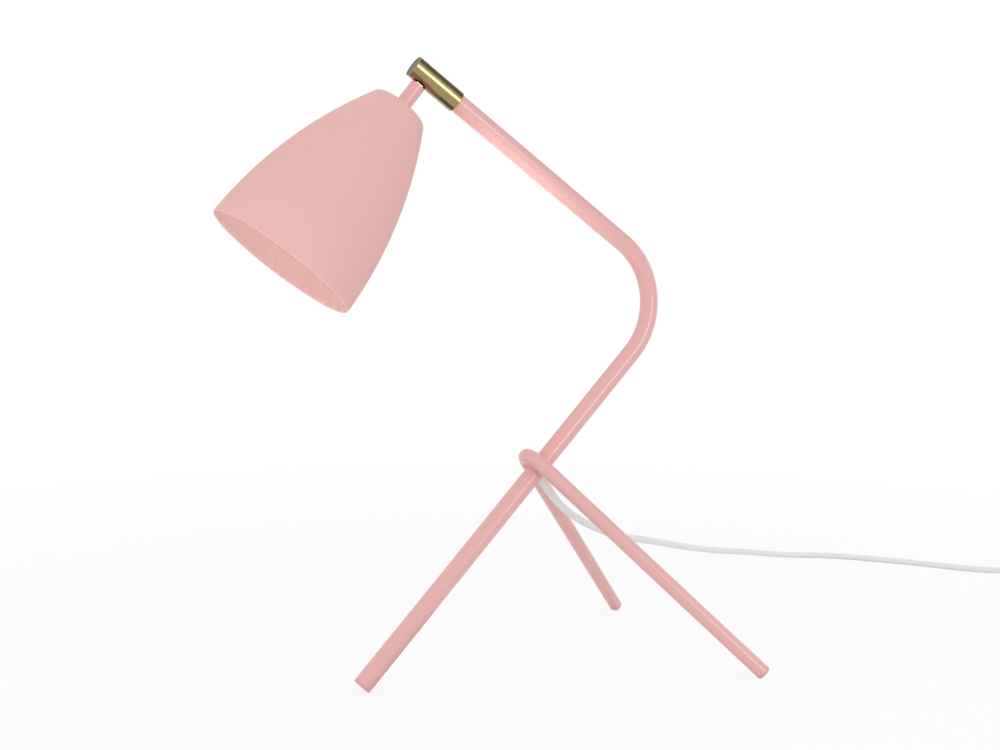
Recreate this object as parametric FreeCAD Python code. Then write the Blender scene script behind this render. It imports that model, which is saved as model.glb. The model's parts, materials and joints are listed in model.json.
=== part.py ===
"""Tripod table lamp in millimetres, +Z up, standing on z = 0.

A bent tube makes the front foot, the stem and the arm. A rod bent like a hairpin is wrapped round the
stem and brazed to it, and its two ends are the rear feet. A brass sleeve turns on the arm's end, and
the shade hangs from it on a knuckle that tilts on a pin. The cord leaves the back of the stem just
under the hairpin. The origin is under the middle of the lamp's own box, without its cord.
"""
import FreeCAD, Part

import math
import os

from FreeCAD import Placement, Rotation, Vector

# ---------------------------------------------------------------- driving dimensions (mm, degrees)
# stand
STEM_OD = 15.0
STEM_WALL = 1.2
STEM_SLOPE = 46.06            # of the stem to the floor
STEM_TO_CORNER = 425.6        # along the stem's axis, from the floor to where it would meet the arm's
ARM_SLOPE = 34.50             # of the arm to the floor
CORNER_TO_END = 299.5         # along the arm's axis, from that corner to the brass sleeve's outer end
BEND_R = 60.0                 # of the tube's axis
FRONT_PLUG_HEAD = 3.0
FRONT_PLUG_SPIGOT = 14.0
LEG_D = 12.0
LEG_SLOPE = 47.63             # of the plane that both rear legs lie in
LEG_HALF_SPLAY = 23.82        # of each rear leg from the middle of that plane
LOOP_UP_STEM = 226.6          # along the stem, from the floor to the middle of the hairpin's loop
BRAZE_GAP = 0.1
BRAZE_LEG = 3.4               # how far the braze creeps up the stem
BRAZE_HALF_ARC = 62.0
PAD_THICK = 3.0
PAD_SPIGOT_D = 5.0
PAD_SPIGOT = 9.0
FOOT_ROUND = 1.2
FOOT_FLAT_DEPTH = 1.3         # how much of each foot's lowest corner is cut off flat

# cord and its way out of the stem
CORD_OD = 6.3
CORE_OD = 1.4
CORE_SPACING = 1.6
EXIT_UNDER_LOOP = 4.0         # along the stem, from the loop's middle down to the cord's axis
EXIT_LEAN = 8.2               # degrees that the cord's way out is turned down from square
RELIEF_LENGTH = 22.0
RELIEF_ROOT_OD = 8.6
RELIEF_TIP_OD = 7.1
RELIEF_SPIGOT_OD = 7.8
CLIP_LENGTH = 12.0
CLIP_WIDTH = 7.2
CLIP_THICK = 1.6
CORE_BEND_R = 4.0

# brass swivel on the arm's end
SLEEVE_OD = 17.3
SLEEVE_LENGTH = 43.25
SLEEVE_PAST_TUBE = 24.8
SLEEVE_EDGE = 0.5
PIVOT_FROM_END = 11.8
SWIVEL_CLEAR = 0.07           # radial, between sleeve and tube
SWIVEL_LIMIT = 75.0           # each way from straight down
SWIVEL_AT_REST = 2.24         # the head is turned this much away from the front
CAP_THICK = 2.1
CAP_RECESS = 0.4
SCREW_FROM_INNER_END = 8.0
SCREW_D = 3.0
SCREW_TIP_D = 2.0
SCREW_TIP = 1.1
SCREW_SOCKET_ACROSS = 1.5
BUSH_FLANGE = 1.5
BUSH_LENGTH = 8.0
BUSH_BORE = 8.0
WAVE_WASHER = 0.8
AXIAL_GAP = 0.1
SEAT_GAP = 0.02               # between a fixed piece and its seat

# tilting knuckle
TILT_LIMIT = 10.0             # each way from square to the arm
TILT_AT_REST = 3.70           # the shade leans this much outward from square
KNUCKLE_THICK = 4.5
KNUCKLE_TOP_R = 5.2
KNUCKLE_LOW_R = 7.2
SHANK_WIDTH = 6.0
SLOT_SIDE_GAP = 0.15
SLOT_END_GAP = 0.35
PIN_D = 3.0
PIN_CLEAR = 0.05
PIN_END_GAP = 0.25
TILT_WASHER = 0.6
TILT_WASHER_OD = 8.0
WASHER_GAP = 0.05
WIRE_BORE = 3.4
WIRE_BORE_DROP = 5.5          # from the pivot down to where the two wire bores meet
WIRE_BORE_RISE = 30.0         # slope of the bore that leads towards the arm
SPIGOT_D = 8.0
SPIGOT_LENGTH = 8.6

# neck and shade, measured from the pivot along the shade's axis
NECK_OD = 11.8
NECK_EDGE = 0.5
NECK_CLEAR = 0.1              # from the sleeve at the tilt's ends
THREAD_D = 10.0
NIPPLE_BORE = 6.5
NIPPLE_IN_NECK = 11.5
NIPPLE_GAP = 0.5
SHADE_START = 33.3
SHADE_LENGTH = 147.6
SHADE_MOUTH_D = 120.2
SHADE_TOP_D = 44.4            # where the side's long curve would meet the flat top
SHADE_MOUTH_FLARE = 1.15      # degrees, of the side at the mouth
SHADE_SHOULDER_R = 3.4
SHADE_WALL = 1.0
SHADE_HOLE_GAP = 0.1

# fixings and lampholder inside the shade
SHADE_WASHER_OD = 24.0
SHADE_WASHER = 1.2
NUT_ACROSS = 14.0
NUT_THICK = 3.0
HOLDER_GAP = 0.5
HOLDER_CAP_OD = 27.0
HOLDER_CAP_HEIGHT = 21.0
HOLDER_CAP_TOP = 8.0
HOLDER_WALL = 1.6
HOLDER_BODY_HEIGHT = 24.0
HOLDER_FLOOR = 2.5
HOLDER_OVERLAP = 8.0
SCREW_SHELL_OD = 15.6
SCREW_SHELL_WALL = 0.4
SCREW_SHELL_HEIGHT = 18.0
CONTACT_WIDTH = 4.0
CONTACT_THICK = 0.5
CONTACT_RISE = 2.0
BULB_CAP_OD = 14.0
BULB_CAP_HEIGHT = 16.5
BULB_TIP = 1.4
BULB_TIP_D = 6.0
BULB_HOUSING_OD = 31.0
BULB_GLOBE_D = 45.0
BULB_GLOBE_WALL = 1.0
BULB_LENGTH = 79.0

# switch on the cord
SWITCH_LENGTH = 60.0
SWITCH_WIDTH = 25.0
SWITCH_PART_LINE = 7.5        # height of the parting line and of the cord's axis there
SWITCH_HEIGHT = 17.0
SWITCH_WALL = 1.8
SWITCH_CORNER = 8.0
SWITCH_EDGE = 1.2
SWITCH_CORD_IN = 9.0
SWITCH_CORD_GAP = 0.1
BOSS_D = 5.6
BOSS_X = 17.5
BOSS_Y = 8.0
SWITCH_SCREW_D = 2.6
SWITCH_SCREW_HEAD_D = 4.6
SWITCH_SCREW_HEAD = 1.8
SCREW_CROSS = 0.75            # width and depth of the cross in a screw's head
ROCKER_LENGTH = 19.4
ROCKER_WIDTH = 10.4
ROCKER_GAP = 0.4
ROCKER_PIVOT_HEIGHT = 13.4
ROCKER_THROW = 16.0           # from off to on
ROCKER_END_RISE = 4.6
ROCKER_MID_RISE = 3.3
ROCKER_SKIRT = 1.2
ROCKER_PIN_D = 2.0
ROCKER_PIN_LENGTH = 15.4
LUG_THICK = 2.0
TERMINAL = (8.0, 4.4, 4.6)
TERMINAL_X = 9.6
TERMINAL_Y = 5.4
CLAMP_FROM_END = 5.0
CLAMP_THICK = 3.0
CLAMP_HEIGHT = 3.2

# plug
PLUG_WIDTH = 35.3
PLUG_THICK = 13.7
PLUG_NECK = 9.6
PLUG_LENGTH = 36.0
PLUG_TAPER_START = 8.0
PLUG_TAPER_END = 22.0
PLUG_CORNER = 3.0
PLUG_RELIEF = 26.0
PLUG_RELIEF_ROOT_OD = 9.0
PLUG_RELIEF_TIP_OD = 7.4
PLUG_PIN_D = 4.0
PLUG_PIN_LENGTH = 19.0
PLUG_PIN_ROOT = 8.0
PLUG_PIN_SPACING = 18.6
PIN_SLEEVE_LENGTH = 10.0
PIN_SLEEVE_WALL = 0.6

# coil of spare cord
COIL_OUTER_R = 43.0           # of the cord's axis on the outer turn
COIL_TURNS_PER_LAYER = 2
COIL_TURN_GAP = 0.6
COIL_LAYER_GAP = 0.6

# where the pieces on the cord lie, from where the stem's axis meets the floor
SWITCH_SPOT = (751.0, -28.0, 0.0)
COIL_SPOT = (708.0, -104.0, 0.0)
PLUG_SPOT = (775.0, -238.0, 0.0)
STRAIGHT_BY_SWITCH = 25.0     # cord's straight run into the switch
STRAIGHT_BY_COIL = 13.0
STRAIGHT_BY_PLUG = 16.0
STRAIGHT_BY_RELIEF = 18.2

ORIGIN = Vector(0, 0, 0)
UP = Vector(0, 0, 1)
ALONG_X = Vector(1, 0, 0)
ALONG_Y = Vector(0, 1, 0)
SMALL = 0.01
ROOM = 2 * STEM_TO_CORNER     # larger than the whole stand


# ---------------------------------------------------------------- shapes
def slope(degrees):
    """Unit vector in the lamp's middle plane, at an angle above +X."""
    return Vector(math.cos(math.radians(degrees)), 0, math.sin(math.radians(degrees)))


def rod(start, end, diameter):
    """Round bar between two points."""
    along = end - start
    return Part.makeCylinder(diameter / 2, along.Length, start, along)


def ring(start, end, outer_d, inner_d):
    """Round tube between two points."""
    return rod(start, end, outer_d).cut(rod(start, end, inner_d))


def cone(start, end, start_d, end_d):
    along = end - start
    return Part.makeCone(start_d / 2, end_d / 2, along.Length, start, along)


def block(length, width, height, centre_bottom):
    """Box that stands on a point, centred on it in X and Y."""
    corner = centre_bottom - Vector(length / 2, width / 2, 0)
    return Part.makeBox(length, width, height, corner)


def prism(points, direction):
    """Straight-sided solid on a closed outline."""
    return Part.Face(Part.makePolygon(points + points[:1])).extrude(direction)


def hexagon(across, start, direction):
    """Hexagonal prism, across flats, along a direction of full length."""
    place = Placement(start, Rotation(UP, direction))
    corner_r = across / math.sqrt(3)
    points = [
        place.multVec(Vector(corner_r * math.cos(a), corner_r * math.sin(a), 0))
        for a in (math.radians(60 * k) for k in range(6))
    ]
    return prism(points, direction)


def lathe(edges):
    """Solid of revolution about Z of a closed outline of edges in the XZ plane."""
    face = Part.Face(Part.Wire(edges))
    return face.revolve(ORIGIN, UP, 360)


def line(a, b):
    return Part.LineSegment(a, b).toShape()


def arc(a, middle, b):
    return Part.Arc(a, middle, b).toShape()


def pipe(path, diameter, start, direction):
    """Round bar along a wire of straight runs and arcs."""
    circle = Part.Wire(Part.Circle(start, direction, diameter / 2).toShape())
    return path.makePipeShell([circle], True, False)


def solid(shape):
    """The one solid of a result, as its own shape."""
    found = shape.Solids
    if len(found) != 1:
        raise ValueError("expected one solid and found %d" % len(found))
    return found[0]


def placed(shape, placement):
    """A copy of a shape, moved from its own frame."""
    copy = shape.copy()
    copy.Placement = placement.multiply(copy.Placement)
    return copy


def rounded_path(points):
    """Straight runs joined by tangent arcs, as large as their two runs allow, and the arcs' radii."""
    edges = []
    radii = []
    start = points[0]
    for before, corner, after in zip(points, points[1:], points[2:]):
        back = before - corner
        ahead = after - corner
        turn = math.pi - back.getAngle(ahead)
        cut = 0.45 * min(back.Length, ahead.Length)
        radius = cut / math.tan(turn / 2)
        inward = back.normalize() + ahead.normalize()
        to_centre = inward.normalize() * math.hypot(radius, cut)
        first = corner + back * cut
        last = corner + ahead * cut
        middle = corner + to_centre - to_centre.normalize() * radius
        edges += [line(start, first), arc(first, middle, last)]
        radii.append(radius)
        start = last
    edges.append(line(start, points[-1]))
    return Part.Wire(edges), radii


def biarc(start, start_dir, end, end_dir):
    """Two arcs that leave one point and reach another in the given directions."""
    chord = end - start
    both = start_dir + end_dir
    apart = 2 * (1 - start_dir.dot(end_dir))
    reach = -chord.dot(both) + math.sqrt(chord.dot(both) ** 2 + apart * chord.dot(chord))
    reach = reach / apart
    first_knee = start + start_dir * reach
    last_knee = end - end_dir * reach
    joint = (first_knee + last_knee) * 0.5
    edges = []
    for a, knee, b in ((start, first_knee, joint), (joint, last_knee, end)):
        back = (a - knee).normalize()
        ahead = (b - knee).normalize()
        half = back.getAngle(ahead) / 2
        to_centre = (back + ahead).normalize() * (reach / math.cos(half))
        radius = reach * math.tan(half)
        middle = knee + to_centre - (to_centre * 1.0).normalize() * radius
        edges.append(arc(a, middle, b))
    return edges


# ---------------------------------------------------------------- stand
GAP = 2 * SEAT_GAP            # on the diameter, between a fixed piece and its seat
STEM_BORE = STEM_OD - 2 * STEM_WALL
STEM_DIR = slope(STEM_SLOPE)
STEM_BACK = slope(STEM_SLOPE - 90)
ARM_TOP = slope(90 - ARM_SLOPE)
ARM_DIR = slope(180 - ARM_SLOPE)
CORNER = STEM_DIR * STEM_TO_CORNER
ARM_END = CORNER + ARM_DIR * CORNER_TO_END
TUBE_END = ARM_END - ARM_DIR * SLEEVE_PAST_TUBE
TURN = math.radians(180 - STEM_SLOPE - ARM_SLOPE)
LOOP = STEM_DIR * LOOP_UP_STEM
LEG_MIDDLE = slope(-LEG_SLOPE)
LEG_PLANE = LEG_MIDDLE.cross(ALONG_Y)
LOOP_R = (STEM_OD + LEG_D) / 2 + BRAZE_GAP
FLOOR_BLOCK = Part.makeBox(2 * ROOM, 2 * ROOM, ROOM, Vector(-ROOM, -ROOM, -ROOM))
EXIT = LOOP - STEM_DIR * EXIT_UNDER_LOOP
EXIT_DIR = slope(STEM_SLOPE - 90 - EXIT_LEAN)


def stem_path(offset, start, end):
    """Axis of the bent tube, moved sideways in its plane towards the inside of the bend."""
    inward = (ARM_DIR - STEM_DIR).normalize()
    centre = CORNER + inward * (BEND_R / math.cos(TURN / 2))
    radius = BEND_R - offset
    leave = centre + STEM_BACK * radius
    arrive = centre + ARM_TOP * radius
    middle = centre - inward * radius
    return [line(start, leave), arc(leave, middle, arrive), line(arrive, end)]


def foot_reach(direction, diameter):
    """How far above the floor, along a tube, its square end's middle is when its corner is cut flat."""
    sine = abs(direction.z)
    return (diameter / 2 * math.sqrt(1 - sine**2) - FOOT_FLAT_DEPTH) / sine


def foot(end, inward, diameter, head, spigot, spigot_d):
    """Plug for a tube's or rod's end: a head with a rounded edge and a spigot, cut flat on the floor."""
    top = end + inward * head
    head_part = rod(end, top, diameter)
    edge = min(head_part.Edges, key=lambda e: (e.CenterOfMass - end).Length)
    head_part = head_part.makeFillet(min(FOOT_ROUND, head / 2), [edge])
    plug = head_part.fuse(rod(top - inward * SMALL, top + inward * spigot, spigot_d))
    return solid(plug.removeSplitter().cut(FLOOR_BLOCK))


def front_foot_end():
    return STEM_DIR * foot_reach(STEM_DIR, STEM_OD)


def make_stem_tube():
    start = front_foot_end() + STEM_DIR * FRONT_PLUG_HEAD
    path = Part.Wire(stem_path(0, start, TUBE_END))
    tube = pipe(path, STEM_OD, start, STEM_DIR).cut(pipe(path, STEM_BORE, start, STEM_DIR))
    tube = tube.cut(rod(EXIT, EXIT + EXIT_DIR * STEM_OD, RELIEF_SPIGOT_OD))
    return solid(tube.cut(swivel_groove()))


def make_front_foot_plug():
    return foot(
        front_foot_end(), STEM_DIR, STEM_OD, FRONT_PLUG_HEAD, FRONT_PLUG_SPIGOT, STEM_BORE - GAP
    )


def leg_dir(side):
    angle = math.radians(LEG_HALF_SPLAY)
    return LEG_MIDDLE * math.cos(angle) + ALONG_Y * (side * math.sin(angle))


def loop_tangent(side):
    """Where a rear leg's straight run starts at the loop."""
    angle = math.radians(LEG_HALF_SPLAY)
    return LOOP + (ALONG_Y * (side * math.cos(angle)) - LEG_MIDDLE * math.sin(angle)) * LOOP_R


def rear_foot_end(side):
    direction = leg_dir(side)
    start = loop_tangent(side)
    to_floor = start.z / -direction.z
    return start + direction * (to_floor - foot_reach(direction, LEG_D))


def make_rear_legs():
    ends = [rear_foot_end(side) - leg_dir(side) * PAD_THICK for side in (-1, 1)]
    front = LOOP - LEG_MIDDLE * LOOP_R
    path = Part.Wire(
        [
            line(ends[0], loop_tangent(-1)),
            arc(loop_tangent(-1), front, loop_tangent(1)),
            line(loop_tangent(1), ends[1]),
        ]
    )
    legs = pipe(path, LEG_D, ends[0], leg_dir(-1))
    for end, side in zip(ends, (-1, 1)):
        legs = legs.cut(rod(end, end - leg_dir(side) * (PAD_SPIGOT + AXIAL_GAP), PAD_SPIGOT_D))
    return solid(legs)


def make_rear_foot_pads():
    pads = [
        foot(rear_foot_end(side), leg_dir(side) * -1, LEG_D, PAD_THICK, PAD_SPIGOT, PAD_SPIGOT_D - GAP)
        for side in (-1, 1)
    ]
    return Part.makeCompound(pads)


def make_leg_braze():
    """Fillet of braze in the groove between the loop and the stem."""
    outer = STEM_OD / 2 + BRAZE_GAP + BRAZE_LEG / 3
    inner = STEM_OD / 2 - BRAZE_GAP * 3
    points = [
        Vector(inner, 0, -BRAZE_LEG),
        Vector(outer, 0, -BRAZE_LEG * 0.9),
        Vector(outer, 0, BRAZE_LEG * 0.9),
        Vector(inner, 0, BRAZE_LEG),
    ]
    face = Part.Face(Part.makePolygon(points + points[:1]))
    bead = face.revolve(ORIGIN, UP, 2 * BRAZE_HALF_ARC)
    bead.rotate(ORIGIN, UP, -BRAZE_HALF_ARC)
    front = LEG_MIDDLE * -1
    bead = placed(bead, Placement(LOOP, Rotation(front, front.cross(LEG_PLANE) * -1, LEG_PLANE, "ZXY")))
    stem = rod(ORIGIN, CORNER, STEM_OD)
    return bead.cut(stem).cut(make_rear_legs())


# ---------------------------------------------------------------- cord's way out
def from_stem(distance):
    """Point on the cord's exit axis at a distance from the stem's axis."""
    return EXIT + EXIT_DIR * distance


RELIEF_END = STEM_OD / 2 + RELIEF_LENGTH
TAIL_START = CORE_BEND_R * 0.65
CLIP_OUT = math.sqrt((STEM_BORE / 2 - PIN_CLEAR) ** 2 - (CLIP_WIDTH / 2) ** 2)
SPIGOT_START = CLIP_OUT + PIN_CLEAR + RELIEF_SPIGOT_OD / 2 * math.tan(math.radians(EXIT_LEAN))


def make_strain_relief():
    start = from_stem(SPIGOT_START)
    body = cone(start, from_stem(RELIEF_END), RELIEF_ROOT_OD, RELIEF_TIP_OD)
    tip = max(body.Edges, key=lambda e: (e.CenterOfMass - EXIT).Length)
    body = body.makeFillet((RELIEF_TIP_OD - CORD_OD) / 3, [tip])
    body = body.cut(rod(STEM_DIR * (LOOP_UP_STEM / 2), CORNER, STEM_OD))
    body = body.fuse(rod(start, from_stem(STEM_OD / 2 + STEM_WALL), RELIEF_SPIGOT_OD - GAP))
    return solid(body.removeSplitter().cut(rod(EXIT, from_stem(RELIEF_END + 1), CORD_OD)))


def make_cord_tail():
    return rod(from_stem(TAIL_START), from_stem(RELIEF_END), CORD_OD)


def make_cord_clip():
    """Plate crimped on the cord inside the stem, which keeps it from being pulled out."""
    turned = Rotation(STEM_DIR, STEM_BACK.cross(STEM_DIR), STEM_BACK, "ZXY")
    plate = block(CLIP_LENGTH, CLIP_WIDTH, CLIP_THICK, ORIGIN)
    plate = placed(plate, Placement(from_stem(CLIP_OUT - CLIP_THICK), turned))
    return solid(plate.cut(rod(EXIT, from_stem(RELIEF_END), CORD_OD)))


def make_stem_wires():
    """Two cores from the end of the cord's sheath up the stem, round the bend and along the arm."""
    start = from_stem(TAIL_START)
    inward = EXIT_DIR * -1
    half_turn = inward.getAngle(STEM_DIR) / 2
    reach = CORE_BEND_R * math.tan(half_turn)
    knee = start + inward * reach
    turn_end = knee + STEM_DIR * reach
    turn_middle = knee + (STEM_DIR - inward).normalize() * (CORE_BEND_R / math.cos(half_turn) - CORE_BEND_R)
    offset = (EXIT - turn_end).dot(STEM_BACK)
    end = TUBE_END + ARM_DIR * BUSH_FLANGE - ARM_TOP * offset
    wires = []
    for side in (-1, 1):
        shift = ALONG_Y * (side * CORE_SPACING / 2)
        edges = [arc(start, turn_middle, turn_end)] + stem_path(offset, turn_end, end)
        path = Part.Wire(edges)
        path.translate(shift)
        wires.append(pipe(path, CORE_OD, start + shift, inward))
    return Part.makeCompound(wires)


def make_arm_end_bush():
    inner = TUBE_END - ARM_DIR * BUSH_LENGTH
    outer = TUBE_END + ARM_DIR * BUSH_FLANGE
    body = rod(inner, outer, STEM_BORE - GAP).fuse(rod(TUBE_END, outer, STEM_OD))
    return solid(body.removeSplitter().cut(rod(inner, outer, BUSH_BORE)))


# ---------------------------------------------------------------- brass swivel, in the head's frame
# origin at the tilt pivot, +X along the arm to its outer end, -Z towards the shade
PIVOT = ARM_END - ARM_DIR * PIVOT_FROM_END
HEAD_SQUARE = Placement(PIVOT, Rotation(ARM_DIR, ALONG_Y * -1, ARM_TOP, "XZY"))
HEAD_FRAME = HEAD_SQUARE.multiply(Placement(ORIGIN, Rotation(ALONG_X, -SWIVEL_AT_REST)))
SHADE_FRAME = HEAD_FRAME.multiply(Placement(ORIGIN, Rotation(ALONG_Y, -TILT_AT_REST)))
SLEEVE_BORE = STEM_OD + 2 * SWIVEL_CLEAR
SLEEVE_INNER = PIVOT_FROM_END - SLEEVE_LENGTH
SCREW_X = SLEEVE_INNER + SCREW_FROM_INNER_END
TUBE_X = PIVOT_FROM_END - SLEEVE_PAST_TUBE
CRADLE_X = TUBE_X + BUSH_FLANGE + WAVE_WASHER + 2 * AXIAL_GAP
CAP_X = PIVOT_FROM_END - CAP_RECESS - CAP_THICK
CRADLE_D = SLEEVE_BORE - GAP
CHEEK_GAP = KNUCKLE_THICK + 2 * TILT_WASHER + 4 * WASHER_GAP
TILT = math.radians(TILT_LIMIT)
SLOT_HALF = SLEEVE_OD / 2 * math.tan(TILT) + SHANK_WIDTH / 2 / math.cos(TILT) + SLOT_END_GAP
NECK_CORNER = NECK_OD / 2 - NECK_EDGE
NECK_START = (SLEEVE_OD / 2 + NECK_CLEAR + NECK_CORNER * math.sin(TILT)) / math.cos(TILT)
SLOT_WIDTH = KNUCKLE_THICK + 2 * SLOT_SIDE_GAP


def swivel_groove():
    """Cut for the stop screw's tip, part of the way round the tube."""
    tip_angle = math.degrees(math.asin((SCREW_TIP_D / 2 + SLOT_SIDE_GAP) / (STEM_BORE / 2)))
    half = SWIVEL_LIMIT + tip_angle
    half_width = SCREW_TIP_D / 2 + SLOT_SIDE_GAP
    inner = STEM_BORE / 2 - STEM_WALL / 2
    points = [
        Vector(SCREW_X - half_width, 0, inner),
        Vector(SCREW_X + half_width, 0, inner),
        Vector(SCREW_X + half_width, 0, STEM_OD),
        Vector(SCREW_X - half_width, 0, STEM_OD),
    ]
    face = Part.Face(Part.makePolygon(points + points[:1]))
    cut = face.revolve(ORIGIN, ALONG_X, 2 * half)
    cut.rotate(ORIGIN, ALONG_X, 90 - half)
    return placed(cut, HEAD_SQUARE)


def make_swivel_sleeve():
    start = Vector(SLEEVE_INNER, 0, 0)
    end = Vector(PIVOT_FROM_END, 0, 0)
    body = rod(start, end, SLEEVE_OD)
    rims = [e for e in body.Edges if abs(e.CenterOfMass.x) > 1 and e.Closed]
    body = body.makeFillet(min(SLEEVE_EDGE, (SLEEVE_OD - SLEEVE_BORE) / 3), rims)
    body = body.cut(rod(start, end, SLEEVE_BORE))
    body = body.cut(block(2 * SLOT_HALF, SLOT_WIDTH, SLEEVE_OD, Vector(0, 0, -SLEEVE_OD)))
    screw_hole = rod(Vector(SCREW_X, 0, 0), Vector(SCREW_X, -SLEEVE_OD, 0), SCREW_D + GAP)
    return solid(body.cut(screw_hole))


def make_sleeve_end_cap():
    start = Vector(CAP_X, 0, 0)
    cap = rod(start, start + ALONG_X * CAP_THICK, CRADLE_D)
    rim = max(cap.Edges, key=lambda e: e.CenterOfMass.x)
    return cap.makeFillet(SLEEVE_EDGE, [rim])


def make_pivot_cradle():
    """Insert with two cheeks that hold the tilt pin inside the sleeve."""
    start = Vector(CRADLE_X, 0, 0)
    body = rod(start, Vector(CAP_X - AXIAL_GAP, 0, 0), CRADLE_D)
    room_end = KNUCKLE_LOW_R + 2 * SLOT_END_GAP
    room_top = KNUCKLE_TOP_R + SLOT_END_GAP
    corner = Vector(CRADLE_X - 1, -CHEEK_GAP / 2, -SLEEVE_OD)
    room = Part.makeBox(room_end - corner.x, CHEEK_GAP, room_top + SLEEVE_OD, corner)
    body = body.cut(room)
    return solid(body.cut(rod(Vector(0, -SLEEVE_OD, 0), Vector(0, SLEEVE_OD, 0), PIN_D + GAP)))


def make_tilt_pin():
    half = CRADLE_D / 2 - PIN_END_GAP
    return rod(Vector(0, -half, 0), Vector(0, half, 0), PIN_D)


def make_tilt_washers():
    start = KNUCKLE_THICK / 2 + WASHER_GAP
    bore = PIN_D + 2 * PIN_CLEAR
    washers = [
        ring(Vector(0, side * start, 0), Vector(0, side * (start + TILT_WASHER), 0), TILT_WASHER_OD, bore)
        for side in (-1, 1)
    ]
    return Part.makeCompound(washers)


def make_wave_washer():
    start = Vector(TUBE_X + BUSH_FLANGE + AXIAL_GAP, 0, 0)
    return ring(start, start + ALONG_X * WAVE_WASHER, CRADLE_D - 2 * PIN_CLEAR, BUSH_BORE)


def make_stop_screw():
    outside = Vector(SCREW_X, -SLEEVE_OD / 2 + SLEEVE_EDGE / 2, 0)
    shoulder = Vector(SCREW_X, -(STEM_OD / 2 + SWIVEL_CLEAR), 0)
    tip = shoulder + ALONG_Y * SCREW_TIP
    screw = rod(outside, shoulder, SCREW_D).fuse(rod(shoulder - ALONG_Y * SMALL, tip, SCREW_TIP_D))
    socket = hexagon(SCREW_SOCKET_ACROSS, outside - ALONG_Y * SMALL, ALONG_Y * (SLEEVE_EDGE + SMALL))
    return solid(screw.removeSplitter().cut(socket))


# ---------------------------------------------------------------- shade, in its own frame
# origin at the tilt pivot, the shade hangs towards -Z
NIPPLE_START = NECK_START + SPIGOT_LENGTH + NIPPLE_GAP
SHADE_INSIDE = SHADE_START + SHADE_WALL
NUT_START = SHADE_INSIDE + SHADE_WASHER
HOLDER_START = NUT_START + NUT_THICK + HOLDER_GAP
HOLDER_CAP_END = HOLDER_START + HOLDER_CAP_HEIGHT
BODY_START = HOLDER_CAP_END - HOLDER_OVERLAP
BODY_END = BODY_START + HOLDER_BODY_HEIGHT
SHELL_START = BODY_START + HOLDER_FLOOR + CONTACT_RISE
BULB_START = SHELL_START + CONTACT_RISE / 2
BULB_CAP_START = BULB_START + BULB_TIP
HOUSING_START = BULB_CAP_START + BULB_CAP_HEIGHT
GLOBE_CENTRE = BULB_START + BULB_LENGTH - BULB_GLOBE_D / 2
HOUSING_END = GLOBE_CENTRE - math.sqrt((BULB_GLOBE_D / 2) ** 2 - (BULB_HOUSING_OD / 2) ** 2)


def down(distance, across=0.0):
    """Point under the pivot in the shade's frame."""
    return Vector(across, 0, -distance)


def make_knuckle():
    half = ALONG_Y * (KNUCKLE_THICK / 2)
    plate = rod(half * -1, half, 2 * KNUCKLE_TOP_R)
    low = rod(half * -1, half, 2 * KNUCKLE_LOW_R)
    low = low.cut(block(ROOM, ROOM, ROOM, ORIGIN))
    shank = block(SHANK_WIDTH, KNUCKLE_THICK, NECK_START, down(NECK_START))
    spigot = rod(down(NECK_START), down(NECK_START + SPIGOT_LENGTH), SPIGOT_D)
    body = plate.fuse([low, shank, spigot]).removeSplitter()
    body = body.cut(rod(half * -2, half * 2, PIN_D + 2 * PIN_CLEAR))
    body = body.cut(rod(down(WIRE_BORE_DROP), down(NECK_START + SPIGOT_LENGTH + 1), WIRE_BORE))
    knee = down(WIRE_BORE_DROP)
    towards_arm = slope(180 - WIRE_BORE_RISE) * (2 * KNUCKLE_LOW_R)
    return solid(body.cut(rod(knee, knee + towards_arm, WIRE_BORE)))


def make_neck():
    body = rod(down(NECK_START), down(SHADE_START), NECK_OD)
    top = max(body.Edges, key=lambda e: e.CenterOfMass.z)
    body = body.makeFillet(NECK_EDGE, [top])
    body = body.cut(rod(down(NECK_START - 1), down(NIPPLE_START), SPIGOT_D + GAP))
    thread_start = NECK_START + SPIGOT_LENGTH + NIPPLE_GAP / 2
    return solid(body.cut(rod(down(thread_start), down(SHADE_START + 1), THREAD_D + GAP)))


def make_nipple():
    return ring(down(NIPPLE_START), down(HOLDER_START + HOLDER_CAP_TOP - HOLDER_WALL), THREAD_D, NIPPLE_BORE)


def shade_side_r(flare):
    """Radius of the side's long curve, from the mouth to the flat top."""
    across = (SHADE_MOUTH_D - SHADE_TOP_D) / 2
    chord = math.hypot(across, SHADE_LENGTH)
    return chord**2 / (2 * (across * math.cos(flare) - SHADE_LENGTH * math.sin(flare)))


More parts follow.
